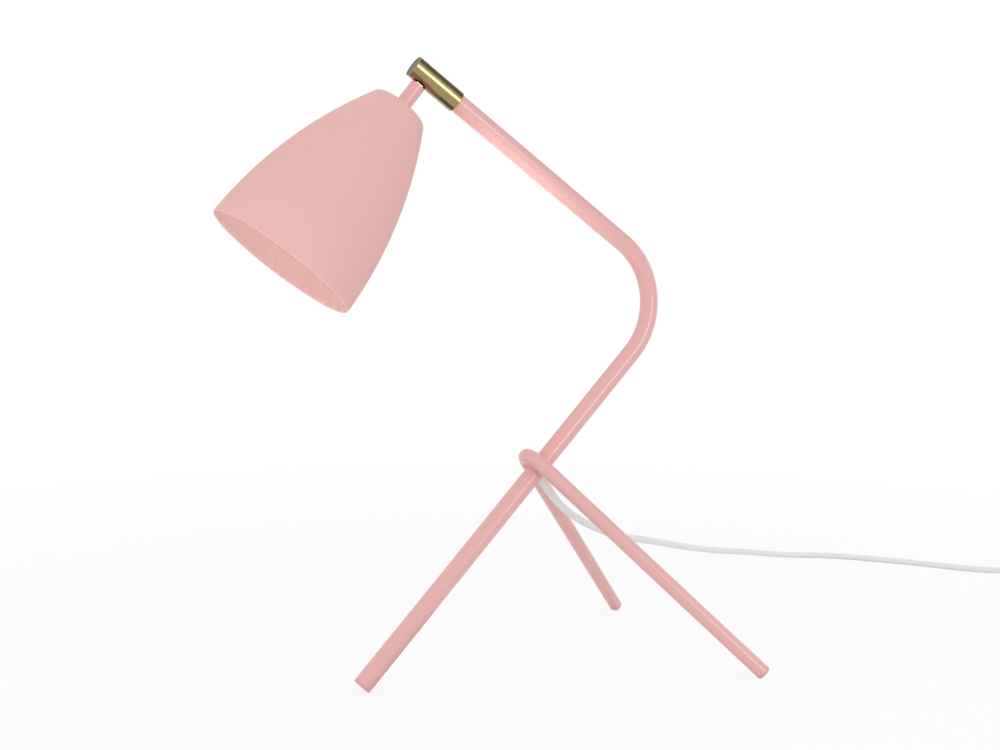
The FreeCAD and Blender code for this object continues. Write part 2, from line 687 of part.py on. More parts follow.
def shade_outline(offset):
    """Points and arcs of the shade's side and shoulder, moved inwards by an offset."""
    flare = math.radians(SHADE_MOUTH_FLARE)
    outer_side_r = shade_side_r(flare)
    mouth_r = SHADE_MOUTH_D / 2
    mouth_z = SHADE_START + SHADE_LENGTH
    centre_r = mouth_r - outer_side_r * math.cos(flare)
    centre_z = mouth_z + outer_side_r * math.sin(flare)
    side_r = outer_side_r - offset
    shoulder_z = SHADE_START + SHADE_SHOULDER_R
    between = outer_side_r - SHADE_SHOULDER_R
    shoulder_r = centre_r + math.sqrt(between**2 - (centre_z - shoulder_z) ** 2)
    join_angle = math.atan2(centre_z - shoulder_z, shoulder_r - centre_r)
    mouth_angle = math.asin((centre_z - mouth_z) / side_r)

    def on_side(angle):
        return down(centre_z - side_r * math.sin(angle), centre_r + side_r * math.cos(angle))

    def on_shoulder(angle):
        radius = SHADE_SHOULDER_R - offset
        return down(shoulder_z - radius * math.sin(angle), shoulder_r + radius * math.cos(angle))

    mouth = on_side(mouth_angle)
    join = on_side(join_angle)
    top = on_shoulder(math.pi / 2)
    side_edge = arc(mouth, on_side((mouth_angle + join_angle) / 2), join)
    shoulder_edge = arc(join, on_shoulder((join_angle + math.pi / 2) / 2), top)
    return mouth, [side_edge, shoulder_edge], top


def make_shade():
    hole_r = THREAD_D / 2 + SHADE_HOLE_GAP
    outer_mouth, outer_edges, outer_top = shade_outline(0)
    inner_mouth, inner_edges, inner_top = shade_outline(SHADE_WALL)
    outer_hole = down(SHADE_START, hole_r)
    inner_hole = down(SHADE_START + SHADE_WALL, hole_r)
    edges = outer_edges + inner_edges
    edges += [line(outer_top, outer_hole), line(outer_hole, inner_hole), line(inner_hole, inner_top)]
    edges.append(line(inner_mouth, outer_mouth))
    shell = solid(lathe([e for e in Part.sortEdges(edges)[0]]))
    rims = [e for e in shell.Edges if e.CenterOfMass.z < -(SHADE_START + SHADE_LENGTH) + SMALL and e.Closed]
    return shell.makeFillet(SHADE_WALL * 0.35, rims)


def make_shade_washer():
    return ring(down(SHADE_INSIDE), down(NUT_START), SHADE_WASHER_OD, THREAD_D + 2 * SHADE_HOLE_GAP)


def make_lock_nut():
    nut = hexagon(NUT_ACROSS, down(NUT_START), UP * -NUT_THICK)
    return solid(nut.cut(rod(down(NUT_START - 1), down(NUT_START + NUT_THICK + 1), THREAD_D + GAP)))


def make_holder_cap():
    body = rod(down(HOLDER_START), down(HOLDER_CAP_END), HOLDER_CAP_OD)
    top = max(body.Edges, key=lambda e: e.CenterOfMass.z)
    body = body.makeFillet(HOLDER_WALL * 2, [top])
    room_d = HOLDER_CAP_OD - 2 * HOLDER_WALL
    body = body.cut(rod(down(HOLDER_START + HOLDER_CAP_TOP), down(HOLDER_CAP_END), room_d))
    return solid(body.cut(rod(down(HOLDER_START - 1), down(HOLDER_CAP_END), THREAD_D + GAP)))


def make_holder_body():
    inner_d = HOLDER_CAP_OD - 2 * HOLDER_WALL - 2 * PIN_CLEAR
    body = rod(down(BODY_START), down(BODY_END), inner_d)
    collar = rod(down(HOLDER_CAP_END + AXIAL_GAP), down(BODY_END), HOLDER_CAP_OD - HOLDER_WALL)
    body = body.fuse(collar).removeSplitter()
    body = body.cut(rod(down(BODY_START + HOLDER_FLOOR), down(BODY_END + 1), SCREW_SHELL_OD + GAP))
    for side in (-1, 1):
        hole = down(BODY_START - 1, side * CORE_SPACING * 2)
        body = body.cut(rod(hole, hole - UP * (HOLDER_FLOOR + 2), CORE_OD + 2 * PIN_CLEAR))
    return solid(body)


def make_screw_shell():
    inner_d = SCREW_SHELL_OD - 2 * SCREW_SHELL_WALL
    return ring(down(SHELL_START), down(SHELL_START + SCREW_SHELL_HEIGHT), SCREW_SHELL_OD, inner_d)


def make_centre_contact():
    """Bent strip that presses on the bulb's tip."""
    floor = BODY_START + HOLDER_FLOOR
    half = CONTACT_WIDTH
    step = 1.25 * CONTACT_THICK
    outline = [
        down(floor, -half),
        down(floor + CONTACT_THICK, -half),
        down(BULB_START, -step),
        down(BULB_START, step),
        down(floor + CONTACT_THICK, half),
        down(floor, half),
        down(floor, half - step),
        down(BULB_START - step, 0),
        down(floor, step - half),
    ]
    strip = prism(outline, ALONG_Y * CONTACT_WIDTH)
    strip.translate(ALONG_Y * (-CONTACT_WIDTH / 2))
    return strip


def make_bulb_cap():
    tip = cone(down(BULB_START), down(BULB_CAP_START), BULB_TIP_D, BULB_CAP_OD - 2)
    return solid(tip.fuse(rod(down(BULB_CAP_START), down(HOUSING_START), BULB_CAP_OD)).removeSplitter())


def make_bulb_housing():
    end = HOUSING_END
    start_r = BULB_CAP_OD / 2
    end_r = BULB_HOUSING_OD / 2
    middle = down((HOUSING_START + end) / 2 + 1, (start_r + end_r) / 2 - 1)
    edges = [
        line(down(HOUSING_START), down(HOUSING_START, start_r)),
        arc(down(HOUSING_START, start_r), middle, down(end, end_r)),
        line(down(end, end_r), down(end)),
        line(down(end), down(HOUSING_START)),
    ]
    return solid(lathe(edges))


def make_bulb_globe():
    globe = Part.makeSphere(BULB_GLOBE_D / 2, down(GLOBE_CENTRE))
    hollow = Part.makeSphere(BULB_GLOBE_D / 2 - BULB_GLOBE_WALL, down(GLOBE_CENTRE))
    above = block(BULB_GLOBE_D * 2, BULB_GLOBE_D * 2, BULB_GLOBE_D * 2, down(HOUSING_END))
    return solid(globe.cut(hollow).cut(above))


def make_shade_wires():
    """Two cores from the knuckle's upper bore down into the lampholder."""
    towards_arm = slope(180 - WIRE_BORE_RISE)
    knee = down(WIRE_BORE_DROP)
    mouth = knee + towards_arm * (KNUCKLE_LOW_R - CORE_OD)
    end = down(BODY_START - CORE_OD)
    path, _ = rounded_path([mouth, knee, end])
    wires = []
    for side in (-1, 1):
        moved = path.copy()
        shift = ALONG_Y * (side * CORE_SPACING / 2)
        moved.translate(shift)
        wires.append(pipe(moved, CORE_OD, mouth + shift, towards_arm * -1))
    return Part.makeCompound(wires)


# ---------------------------------------------------------------- switch on the cord, in its own frame
# origin on the floor under its middle, +X along the cord, away from the lamp
def switch_outline(inset, height, bottom):
    """Rounded bar shape of the switch, moved inwards by an inset."""
    body = block(SWITCH_LENGTH - 2 * inset, SWITCH_WIDTH - 2 * inset, height, Vector(0, 0, bottom))
    uprights = [e for e in body.Edges if abs(e.tangentAt(e.FirstParameter).z) > 0.9]
    return body.makeFillet(SWITCH_CORNER - inset, uprights)


def boss_places():
    return [Vector(BOSS_X, BOSS_Y, 0), Vector(-BOSS_X, -BOSS_Y, 0)]


def switch_half(bottom, top, opening_at_top):
    outside = switch_outline(0, top - bottom, bottom)
    level = bottom if opening_at_top else top
    heights = [(e, e.BoundBox.ZMin, e.BoundBox.ZMax) for e in outside.Edges]
    rim = [e for e, low, high in heights if abs(low - level) < SMALL and abs(high - level) < SMALL]
    outside = outside.makeFillet(SWITCH_EDGE, rim)
    depth = top - bottom - SWITCH_WALL
    hollow_bottom = bottom + SWITCH_WALL if opening_at_top else bottom
    return outside.cut(switch_outline(SWITCH_WALL, depth, hollow_bottom))


def cord_way():
    start = Vector(-SWITCH_LENGTH, 0, SWITCH_PART_LINE)
    return rod(start, start + ALONG_X * 2 * SWITCH_LENGTH, CORD_OD + 2 * SWITCH_CORD_GAP)


def make_switch_base():
    body = switch_half(0, SWITCH_PART_LINE, True)
    for place in boss_places():
        body = body.fuse(rod(place + UP * SMALL, place + UP * SWITCH_PART_LINE, BOSS_D))
    body = body.cut(cord_way())
    for place in boss_places():
        body = body.cut(rod(place - UP, place + UP * SWITCH_HEIGHT, SWITCH_SCREW_D + 2 * PIN_CLEAR))
        head_top = place + UP * (SWITCH_SCREW_HEAD + SEAT_GAP)
        body = body.cut(rod(place - UP, head_top, SWITCH_SCREW_HEAD_D + 2 * PIN_CLEAR))
    return solid(body.removeSplitter())


def make_switch_cover():
    body = switch_half(SWITCH_PART_LINE, SWITCH_HEIGHT, False)
    top = SWITCH_HEIGHT - SWITCH_WALL
    for place in boss_places():
        boss = rod(place + UP * SWITCH_PART_LINE, place + UP * (top + SMALL), BOSS_D)
        body = body.fuse(boss).cut(rod(place, place + UP * (top - SWITCH_WALL), SWITCH_SCREW_D + GAP))
    window_length = ROCKER_LENGTH + 2 * ROCKER_GAP
    window_width = ROCKER_WIDTH + 2 * ROCKER_GAP
    body = body.cut(block(window_length, window_width, SWITCH_WALL * 3, UP * (top - SWITCH_WALL)))
    lug_y = ROCKER_WIDTH / 2 + ROCKER_GAP + LUG_THICK / 2
    lug_low = ROCKER_PIVOT_HEIGHT - ROCKER_PIN_D
    for side in (-1, 1):
        lug = block(ROCKER_PIN_D * 2.5, LUG_THICK, top + SMALL - lug_low, Vector(0, side * lug_y, lug_low))
        body = body.fuse(lug)
    body = body.cut(cord_way())
    pivot = UP * ROCKER_PIVOT_HEIGHT
    reach = ALONG_Y * (SWITCH_WIDTH / 2 - SWITCH_WALL)
    pin_way = rod(pivot - reach, pivot + reach, ROCKER_PIN_D + GAP)
    return solid(body.cut(pin_way).removeSplitter())


def make_switch_screws():
    screws = []
    for place in boss_places():
        top = place + UP * (SWITCH_HEIGHT - 2.5 * SWITCH_WALL)
        shank = rod(place + UP * (SWITCH_SCREW_HEAD - SMALL), top, SWITCH_SCREW_D)
        head = rod(place + UP * AXIAL_GAP * 2, place + UP * SWITCH_SCREW_HEAD, SWITCH_SCREW_HEAD_D)
        cross = block(SWITCH_SCREW_HEAD_D, SCREW_CROSS, SCREW_CROSS, place)
        cross = cross.fuse(block(SCREW_CROSS, SWITCH_SCREW_HEAD_D, SCREW_CROSS, place))
        screws.append(solid(shank.fuse(head).removeSplitter().cut(cross)))
    return Part.makeCompound(screws)


def rocker_frame():
    """Off position: the far end stands up."""
    return Placement(Vector(0, 0, ROCKER_PIVOT_HEIGHT), Rotation(ALONG_Y, -ROCKER_THROW / 2))


def make_switch_rocker():
    half = ROCKER_LENGTH / 2 - ROCKER_GAP
    outline = [
        Vector(-half, 0, -ROCKER_SKIRT),
        Vector(-ROCKER_PIN_D, 0, -ROCKER_PIN_D),
        Vector(ROCKER_PIN_D, 0, -ROCKER_PIN_D),
        Vector(half, 0, -ROCKER_SKIRT),
        Vector(half, 0, ROCKER_END_RISE),
        Vector(0, 0, ROCKER_MID_RISE),
        Vector(-half, 0, ROCKER_END_RISE),
    ]
    body = prism(outline, ALONG_Y * ROCKER_WIDTH)
    body.translate(ALONG_Y * (-ROCKER_WIDTH / 2))
    tops = [e for e in body.Edges if e.BoundBox.ZMin > ROCKER_MID_RISE - SMALL and e.BoundBox.XLength > 1]
    body = body.makeFillet(SWITCH_EDGE / 2, tops)
    pin_way = rod(ALONG_Y * -ROCKER_WIDTH, ALONG_Y * ROCKER_WIDTH, ROCKER_PIN_D + 2 * PIN_CLEAR)
    return placed(solid(body.cut(pin_way)), rocker_frame())


def make_rocker_pin():
    half = ALONG_Y * (ROCKER_PIN_LENGTH / 2)
    centre = Vector(0, 0, ROCKER_PIVOT_HEIGHT)
    return rod(centre - half, centre + half, ROCKER_PIN_D)


def make_contact_bridge():
    """Copper strip under the rocker that joins two terminals."""
    under = Vector(0, 0, -ROCKER_PIN_D - CONTACT_THICK)
    return placed(block(ROCKER_LENGTH / 2, CONTACT_WIDTH, CONTACT_THICK, under), rocker_frame())


def make_switch_terminals():
    bottom = SWITCH_WALL + SEAT_GAP
    length, width, height = TERMINAL
    blocks = []
    for x, y in ((-TERMINAL_X, TERMINAL_Y), (TERMINAL_X, -TERMINAL_Y), (0, -TERMINAL_Y + width + 1)):
        terminal = block(length, width, height, Vector(x, y, bottom))
        middle = Vector(x, y, bottom + height / 2)
        screw_way = rod(middle, middle + UP * height, width / 2)
        wire_way = rod(middle - ALONG_X * length, middle + ALONG_X * length, 1.4 * CORE_OD)
        blocks.append(solid(terminal.cut(screw_way).cut(wire_way)))
    return Part.makeCompound(blocks)


def make_cords_in_switch():
    """The two cord ends, held inside the switch."""
    ends = []
    for side in (-1, 1):
        face = Vector(side * SWITCH_LENGTH / 2, 0, SWITCH_PART_LINE)
        ends.append(rod(face, face - ALONG_X * (side * SWITCH_CORD_IN), CORD_OD))
    return Part.makeCompound(ends)


def make_cord_clamps():
    """Bars in the base that the two cord ends are pressed on."""
    bars = []
    for side in (-1, 1):
        x = side * (SWITCH_LENGTH / 2 - CLAMP_FROM_END)
        bar = block(CLAMP_THICK, CORD_OD, CLAMP_HEIGHT, Vector(x, 0, SWITCH_WALL + SEAT_GAP))
        bars.append(bar.cut(cord_way()))
    return Part.makeCompound(bars)


# ---------------------------------------------------------------- plug, in its own frame
# origin on the floor under the back of its body, +X towards the pins
PLUG_AXIS = Vector(0, 0, PLUG_THICK / 2)


def plug_section(x, width, thick):
    """Rounded-corner section across the plug, as an eight-sided wire."""
    cut = min(PLUG_CORNER, width / 3, thick / 3)
    half_w = width / 2
    half_t = thick / 2
    corners = [
        (half_w, half_t - cut),
        (half_w - cut, half_t),
        (cut - half_w, half_t),
        (-half_w, half_t - cut),
        (-half_w, cut - half_t),
        (cut - half_w, -half_t),
        (half_w - cut, -half_t),
        (half_w, cut - half_t),
    ]
    points = [PLUG_AXIS + Vector(x, y, z) for y, z in corners]
    return Part.makePolygon(points + points[:1])


def pin_ways():
    return [PLUG_AXIS + Vector(PLUG_LENGTH, side * PLUG_PIN_SPACING / 2, 0) for side in (-1, 1)]


def make_plug_body():
    sections = [
        plug_section(0, PLUG_NECK * 1.25, PLUG_NECK),
        plug_section(PLUG_TAPER_START, PLUG_NECK * 1.6, PLUG_NECK * 1.1),
        plug_section(PLUG_TAPER_END, PLUG_WIDTH, PLUG_THICK),
        plug_section(PLUG_LENGTH, PLUG_WIDTH, PLUG_THICK),
    ]
    relief_end = PLUG_AXIS - ALONG_X * PLUG_RELIEF
    body = Part.makeLoft(sections, True, True)
    body = body.fuse(cone(relief_end, PLUG_AXIS + ALONG_X, PLUG_RELIEF_TIP_OD, PLUG_RELIEF_ROOT_OD))
    for way in pin_ways():
        body = body.cut(rod(way - ALONG_X * PLUG_PIN_ROOT, way + ALONG_X, PLUG_PIN_D - 2 * PIN_SLEEVE_WALL))
    return solid(body)


def make_plug_pins():
    pins = []
    for way in pin_ways():
        tip = way + ALONG_X * PLUG_PIN_LENGTH
        thick = rod(way + ALONG_X * PIN_SLEEVE_LENGTH, tip, PLUG_PIN_D)
        end = max(thick.Edges, key=lambda e: e.CenterOfMass.x)
        thick = thick.makeFillet(PLUG_PIN_D / 3, [end])
        core_end = way + ALONG_X * (PIN_SLEEVE_LENGTH + SMALL)
        core = rod(way - ALONG_X * PLUG_PIN_ROOT, core_end, PLUG_PIN_D - 2 * PIN_SLEEVE_WALL)
        pins.append(solid(core.fuse(thick).removeSplitter()))
    return Part.makeCompound(pins)


def make_pin_sleeves():
    inner_d = PLUG_PIN_D - 2 * PIN_SLEEVE_WALL
    length = ALONG_X * PIN_SLEEVE_LENGTH
    return Part.makeCompound([ring(way, way + length, PLUG_PIN_D - GAP, inner_d) for way in pin_ways()])


# ---------------------------------------------------------------- free cord, in the lamp's frame
def coil_point(angle):
    """Axis of the coil's cord: it spirals in along the bottom layer, climbs and spirals out on top."""
    half = 2 * math.pi * COIL_TURNS_PER_LAYER
    total = 2 * half
    pitch = CORD_OD + COIL_TURN_GAP
    turns_in = min(angle, total - angle) / (2 * math.pi)
    radius = COIL_OUTER_R - pitch * turns_in
    climb_start = half - math.pi / 2
    climbed = min(max((angle - climb_start) / math.pi, 0), 1)
    smooth = climbed * climbed * (3 - 2 * climbed)
    height = CORD_OD / 2 + smooth * (CORD_OD + COIL_LAYER_GAP)
    return Vector(radius * math.cos(angle), -radius * math.sin(angle), height)


def coil_direction(angle):
    step = 1e-4
    total = 4 * math.pi * COIL_TURNS_PER_LAYER
    before = coil_point(max(angle - step, 0))
    after = coil_point(min(angle + step, total))
    return (after - before).normalize()


def make_cord_coil():
    """Spare cord laid in a flat coil of two layers, one unbroken tube of real turns."""
    turns = 2 * COIL_TURNS_PER_LAYER
    angles = [math.pi / 2 * k for k in range(4 * turns + 1)]
    points = [coil_point(a) for a in angles]
    directions = [coil_direction(a) for a in angles]
    edges = [line(points[0] - directions[0] * CORD_OD, points[0])]
    for k in range(len(angles) - 1):
        edges += biarc(points[k], directions[k], points[k + 1], directions[k + 1])
    edges.append(line(points[-1], points[-1] + directions[-1] * CORD_OD))
    path = Part.Wire(edges)
    samples = [p for edge in edges for p in edge.discretize(9)[:-1]]
    steps_per_turn = len(samples) // turns
    least = min(
        a.distanceToPoint(b)
        for i, a in enumerate(samples)
        for b in samples[i + steps_per_turn // 2:]
    )
    print("coil: least gap to itself %.2f mm, length %.1f mm" % (least - CORD_OD, path.Length))
    coil = pipe(path, CORD_OD, points[0] - directions[0] * CORD_OD, directions[0])
    return placed(solid(coil), COIL_PLACE)


def coil_end(first):
    """Point and direction of one end of the coil's cord."""
    angle = 0 if first else 4 * math.pi * COIL_TURNS_PER_LAYER
    direction = coil_direction(angle)
    step = -CORD_OD if first else CORD_OD
    return COIL_PLACE.multVec(coil_point(angle) + direction * step), direction


def make_cord_run(name, points):
    path, radii = rounded_path(points)
    tube = solid(pipe(path, CORD_OD, points[0], points[1] - points[0]))
    full = math.pi * CORD_OD**2 / 4 * path.Length
    print("%s: radii %s" % (name, " ".join("%.0f" % r for r in radii)))
    ratio = tube.Volume / full
    print("%s: length %.1f mm, volume over section times length %.4f" % (name, path.Length, ratio))
    return tube


CORD_ON_FLOOR = CORD_OD / 2
SWITCH_PLACE = Placement(Vector(*SWITCH_SPOT), Rotation(UP, -90))
COIL_PLACE = Placement(Vector(*COIL_SPOT), Rotation())
PLUG_PLACE = Placement(Vector(*PLUG_SPOT), Rotation(UP, -90))
SWITCH_IN = SWITCH_PLACE.multVec(Vector(-SWITCH_LENGTH / 2, 0, SWITCH_PART_LINE))
SWITCH_OUT = SWITCH_PLACE.multVec(Vector(SWITCH_LENGTH / 2, 0, SWITCH_PART_LINE))
COIL_IN, COIL_IN_DIR = coil_end(True)
COIL_OUT, COIL_OUT_DIR = coil_end(False)
PLUG_IN = PLUG_PLACE.multVec(PLUG_AXIS - ALONG_X * PLUG_RELIEF)
TOWARDS_VIEWER = ALONG_Y * -1
RUN_TO_SWITCH = [
    from_stem(RELIEF_END),
    from_stem(RELIEF_END + STRAIGHT_BY_RELIEF),
    Vector(242.3, 16.6, 94.8),
    Vector(291.2, 40.1, 82.6),
    Vector(365, 89, 59),
    Vector(440, 136, 38),
    Vector(516, 179, 19.6),
    Vector(586, 208, CORD_ON_FLOOR),
    Vector(640, 180, CORD_ON_FLOOR),
    Vector(697, 112, CORD_ON_FLOOR),
    Vector(738, 52, CORD_ON_FLOOR),
    SWITCH_IN - TOWARDS_VIEWER * STRAIGHT_BY_SWITCH,
    SWITCH_IN,
]
RUN_TO_COIL = [
    SWITCH_OUT,
    SWITCH_OUT + TOWARDS_VIEWER * STRAIGHT_BY_COIL,
    COIL_IN - COIL_IN_DIR * STRAIGHT_BY_COIL,
    COIL_IN,
]
RUN_TO_PLUG = [
    COIL_OUT,
    COIL_OUT + COIL_OUT_DIR * STRAIGHT_BY_PLUG,
    Vector(758, -154, CORD_ON_FLOOR),
    Vector(768, -177, CORD_ON_FLOOR),
    PLUG_IN - TOWARDS_VIEWER * STRAIGHT_BY_PLUG,
    PLUG_IN,
]


# ---------------------------------------------------------------- build
LAMP = {
    "stem_tube": make_stem_tube(),
    "front_foot_plug": make_front_foot_plug(),
    "rear_legs": make_rear_legs(),
    "rear_foot_pads": make_rear_foot_pads(),
    "leg_braze": make_leg_braze(),
    "strain_relief": make_strain_relief(),
    "cord_clip": make_cord_clip(),
    "cord_tail": make_cord_tail(),
    "stem_wires": make_stem_wires(),
    "arm_end_bush": make_arm_end_bush(),
}
HEAD = {
    "swivel_sleeve": make_swivel_sleeve(),
    "sleeve_end_cap": make_sleeve_end_cap(),
    "pivot_cradle": make_pivot_cradle(),
    "tilt_pin": make_tilt_pin(),
    "wave_washer": make_wave_washer(),
    "stop_screw": make_stop_screw(),
}
SHADE = {
    "tilt_knuckle": make_knuckle(),
    "tilt_washers": make_tilt_washers(),
    "neck": make_neck(),
    "shade": make_shade(),
    "nipple": make_nipple(),
    "shade_washer": make_shade_washer(),
    "lock_nut": make_lock_nut(),
    "holder_cap": make_holder_cap(),
    "holder_body": make_holder_body(),
    "screw_shell": make_screw_shell(),
    "centre_contact": make_centre_contact(),
    "bulb_cap": make_bulb_cap(),
    "bulb_housing": make_bulb_housing(),
    "bulb_globe": make_bulb_globe(),
    "shade_wires": make_shade_wires(),
}
SWITCH = {
    "switch_base": make_switch_base(),
    "switch_cover": make_switch_cover(),
    "switch_screws": make_switch_screws(),
    "switch_terminals": make_switch_terminals(),
    "cord_clamps": make_cord_clamps(),
    "cords_in_switch": make_cords_in_switch(),
    "rocker_pin": make_rocker_pin(),
    "switch_rocker": make_switch_rocker(),
    "contact_bridge": make_contact_bridge(),
}
PLUG = {
    "plug_body": make_plug_body(),
    "plug_pins": make_plug_pins(),
    "pin_sleeves": make_pin_sleeves(),
}
CORD = {
    "cord_to_switch": make_cord_run("cord_to_switch", RUN_TO_SWITCH),
    "cord_to_coil": make_cord_run("cord_to_coil", RUN_TO_COIL),
    "cord_coil": make_cord_coil(),
    "cord_to_plug": make_cord_run("cord_to_plug", RUN_TO_PLUG),
}

nodes = dict(LAMP)
for group, frame in ((HEAD, HEAD_FRAME), (SHADE, SHADE_FRAME)):
    nodes.update({name: placed(shape, frame) for name, shape in group.items()})
box = Part.makeCompound(list(nodes.values())).optimalBoundingBox(False)
to_origin = Vector(-(box.XMin + box.XMax) / 2, -(box.YMin + box.YMax) / 2, -box.ZMin)
for group, frame in ((SWITCH, SWITCH_PLACE), (PLUG, PLUG_PLACE)):
    nodes.update({name: placed(shape, frame) for name, shape in group.items()})
nodes.update(CORD)

os.makedirs("parts", exist_ok=True)
for name, shape in nodes.items():
    shape.translate(to_origin)
    if not shape.isValid() or not shape.Solids:
        raise ValueError(name + " is not a valid solid")
    shape.exportStep("parts/%s.step" % name)
print("box %.1f x %.1f x %.1f mm, moved by %s" % (box.XLength, box.YLength, box.ZLength, to_origin))
print("pivot", PIVOT + to_origin, "shade axis", SHADE_FRAME.Rotation.multVec(UP * -1))
print("exit", from_stem(RELIEF_END) + to_origin)
print("rocker pivot", SWITCH_PLACE.multVec(UP * ROCKER_PIVOT_HEIGHT) + to_origin)
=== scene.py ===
"""Looks of the tripod table lamp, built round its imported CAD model. Metres, +Z up, the shade towards -X."""
import json
import math

import bpy
import numpy as np
from mathutils import Matrix, Vector


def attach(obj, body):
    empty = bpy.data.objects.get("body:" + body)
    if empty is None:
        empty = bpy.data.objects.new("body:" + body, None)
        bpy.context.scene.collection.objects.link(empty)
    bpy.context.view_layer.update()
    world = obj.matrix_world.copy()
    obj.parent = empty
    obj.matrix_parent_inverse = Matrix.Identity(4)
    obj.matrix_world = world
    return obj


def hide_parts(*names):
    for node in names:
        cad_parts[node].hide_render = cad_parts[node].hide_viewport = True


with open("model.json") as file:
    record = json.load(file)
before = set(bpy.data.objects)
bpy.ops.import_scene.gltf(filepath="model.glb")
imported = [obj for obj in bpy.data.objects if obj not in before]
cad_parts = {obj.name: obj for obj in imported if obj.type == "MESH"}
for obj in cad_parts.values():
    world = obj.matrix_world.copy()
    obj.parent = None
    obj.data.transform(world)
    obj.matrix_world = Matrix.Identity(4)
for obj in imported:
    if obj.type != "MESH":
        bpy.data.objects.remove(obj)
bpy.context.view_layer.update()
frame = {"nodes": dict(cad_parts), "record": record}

# ---------------------------------------------------------------- the lamp's own sizes (metres)
MM = 0.001
FOOT_TO_ORIGIN = -103.3977 * MM
CORD_D = 6.3 * MM
CORD_R = CORD_D / 2
STEM_SLOPE = math.radians(46.06)
STEM_DIR = np.array([math.cos(STEM_SLOPE), 0, math.sin(STEM_SLOPE)])
LOOP_UP_STEM = 226.6 * MM
EXIT_UNDER_LOOP = 4.0 * MM
EXIT_SLOPE = STEM_SLOPE - math.radians(98.2)
EXIT_DIR = np.array([math.cos(EXIT_SLOPE), 0, math.sin(EXIT_SLOPE)])
RELIEF_FROM_AXIS = 29.5 * MM
ALONG_Y = np.array([0.0, 1.0, 0.0])


def spot(x, y, z):
    """A point in millimetres from where the stem's axis meets the floor, in the part's own frame."""
    return np.array([x * MM + FOOT_TO_ORIGIN, y * MM, z * MM])


# ---------------------------------------------------------------- camera
CAMERA_PLACE = spot(-293.275, -827.483, 311.990)
CAMERA_SWING = math.radians(26.652)
CAMERA_DROP = math.radians(4.435)
CAMERA_ROLL = math.radians(0.146)
LENS_MM = 41.947
SENSOR_MM = 36
NEAREST_SEEN = 20 * MM


def add_camera():
    """Camera where the photograph was taken from, turned to look along its measured direction."""
    swing, drop, roll = CAMERA_SWING, CAMERA_DROP, CAMERA_ROLL
    ahead = Vector((math.sin(swing) * math.cos(drop), math.cos(swing) * math.cos(drop), -math.sin(drop)))
    level = Vector((math.cos(swing), -math.sin(swing), 0))
    above = level.cross(ahead)
    right = level * math.cos(roll) + above * math.sin(roll)
    top = above * math.cos(roll) - level * math.sin(roll)
    data = bpy.data.cameras.new("camera")
    data.sensor_width = SENSOR_MM
    data.lens = LENS_MM
    data.clip_start = NEAREST_SEEN
    camera = bpy.data.objects.new("camera", data)
    bpy.context.scene.collection.objects.link(camera)
    place = Matrix((right, top, -ahead)).transposed().to_4x4()
    place.translation = CAMERA_PLACE
    camera.matrix_world = place
    bpy.context.scene.camera = camera


add_camera()


# ---------------------------------------------------------------- free cord
RELIEF_END = STEM_DIR * (LOOP_UP_STEM - EXIT_UNDER_LOOP) + spot(0, 0, 0) + EXIT_DIR * RELIEF_FROM_AXIS
COIL_R = 43.0 * MM
COIL_PITCH = CORD_D + 0.6 * MM
COIL_LIFT = 1.0 * MM
COIL_MIDDLE = spot(708, -104, 0)
COIL_TURNS_EACH_WAY = 2
COIL_STEPS = 18
SWITCH_OUT = spot(751, -58, 7.5)
PLUG_IN = spot(775, -212, 6.85)


def cord_curve(name, points):
    """Round cord whose axis is a second-degree NURBS curve on the given control points.

    The bevel is one unit and each point's radius is the cord's, so that the curve's box is
    the cord's too.
    """
    curve = bpy.data.curves.new(name, "CURVE")
    curve.dimensions = "3D"
    curve.bevel_depth = 1.0
    curve.bevel_resolution = 6
    curve.resolution_u = 16
    curve.use_fill_caps = True
    spline = curve.splines.new("NURBS")
    spline.points.add(len(points) - 1)
    for point, place in zip(spline.points, points):
        point.co = (*place, 1.0)
        point.radius = CORD_R
    spline.order_u = 3
    spline.use_endpoint_u = True
    piece = bpy.data.objects.new(name, curve)
    bpy.context.scene.collection.objects.link(piece)
    return piece


def coil_points(centre, turns_each_way, steps):
    """Control points of the coil of spare cord, clockwise from above.

    radius = outer - pitch * turns from the nearer end, and the height climbs by one pitch with
    3s^2 - 2s^3 over the half turn at the middle. The radius is divided by the cosine of half a step,
    because the curve runs through the middles of the runs between its points. The lift leaves
    room for the tie.
    """
    total = 4 * math.pi * turns_each_way
    angle = np.linspace(0, total, 2 * turns_each_way * steps + 1)
    radius = COIL_R - COIL_PITCH * np.minimum(angle, total - angle) / (2 * math.pi)
    radius = radius / math.cos(math.pi / steps)
    climb = np.clip((angle - total / 2 + math.pi / 2) / math.pi, 0, 1)
    lift = COIL_LIFT * np.minimum(1, np.minimum(angle, total - angle) / math.pi)
    height = CORD_R + lift + climb * climb * (3 - 2 * climb) * COIL_PITCH
    return np.stack([centre[0] + radius * np.cos(angle), centre[1] - radius * np.sin(angle), height], axis=1)


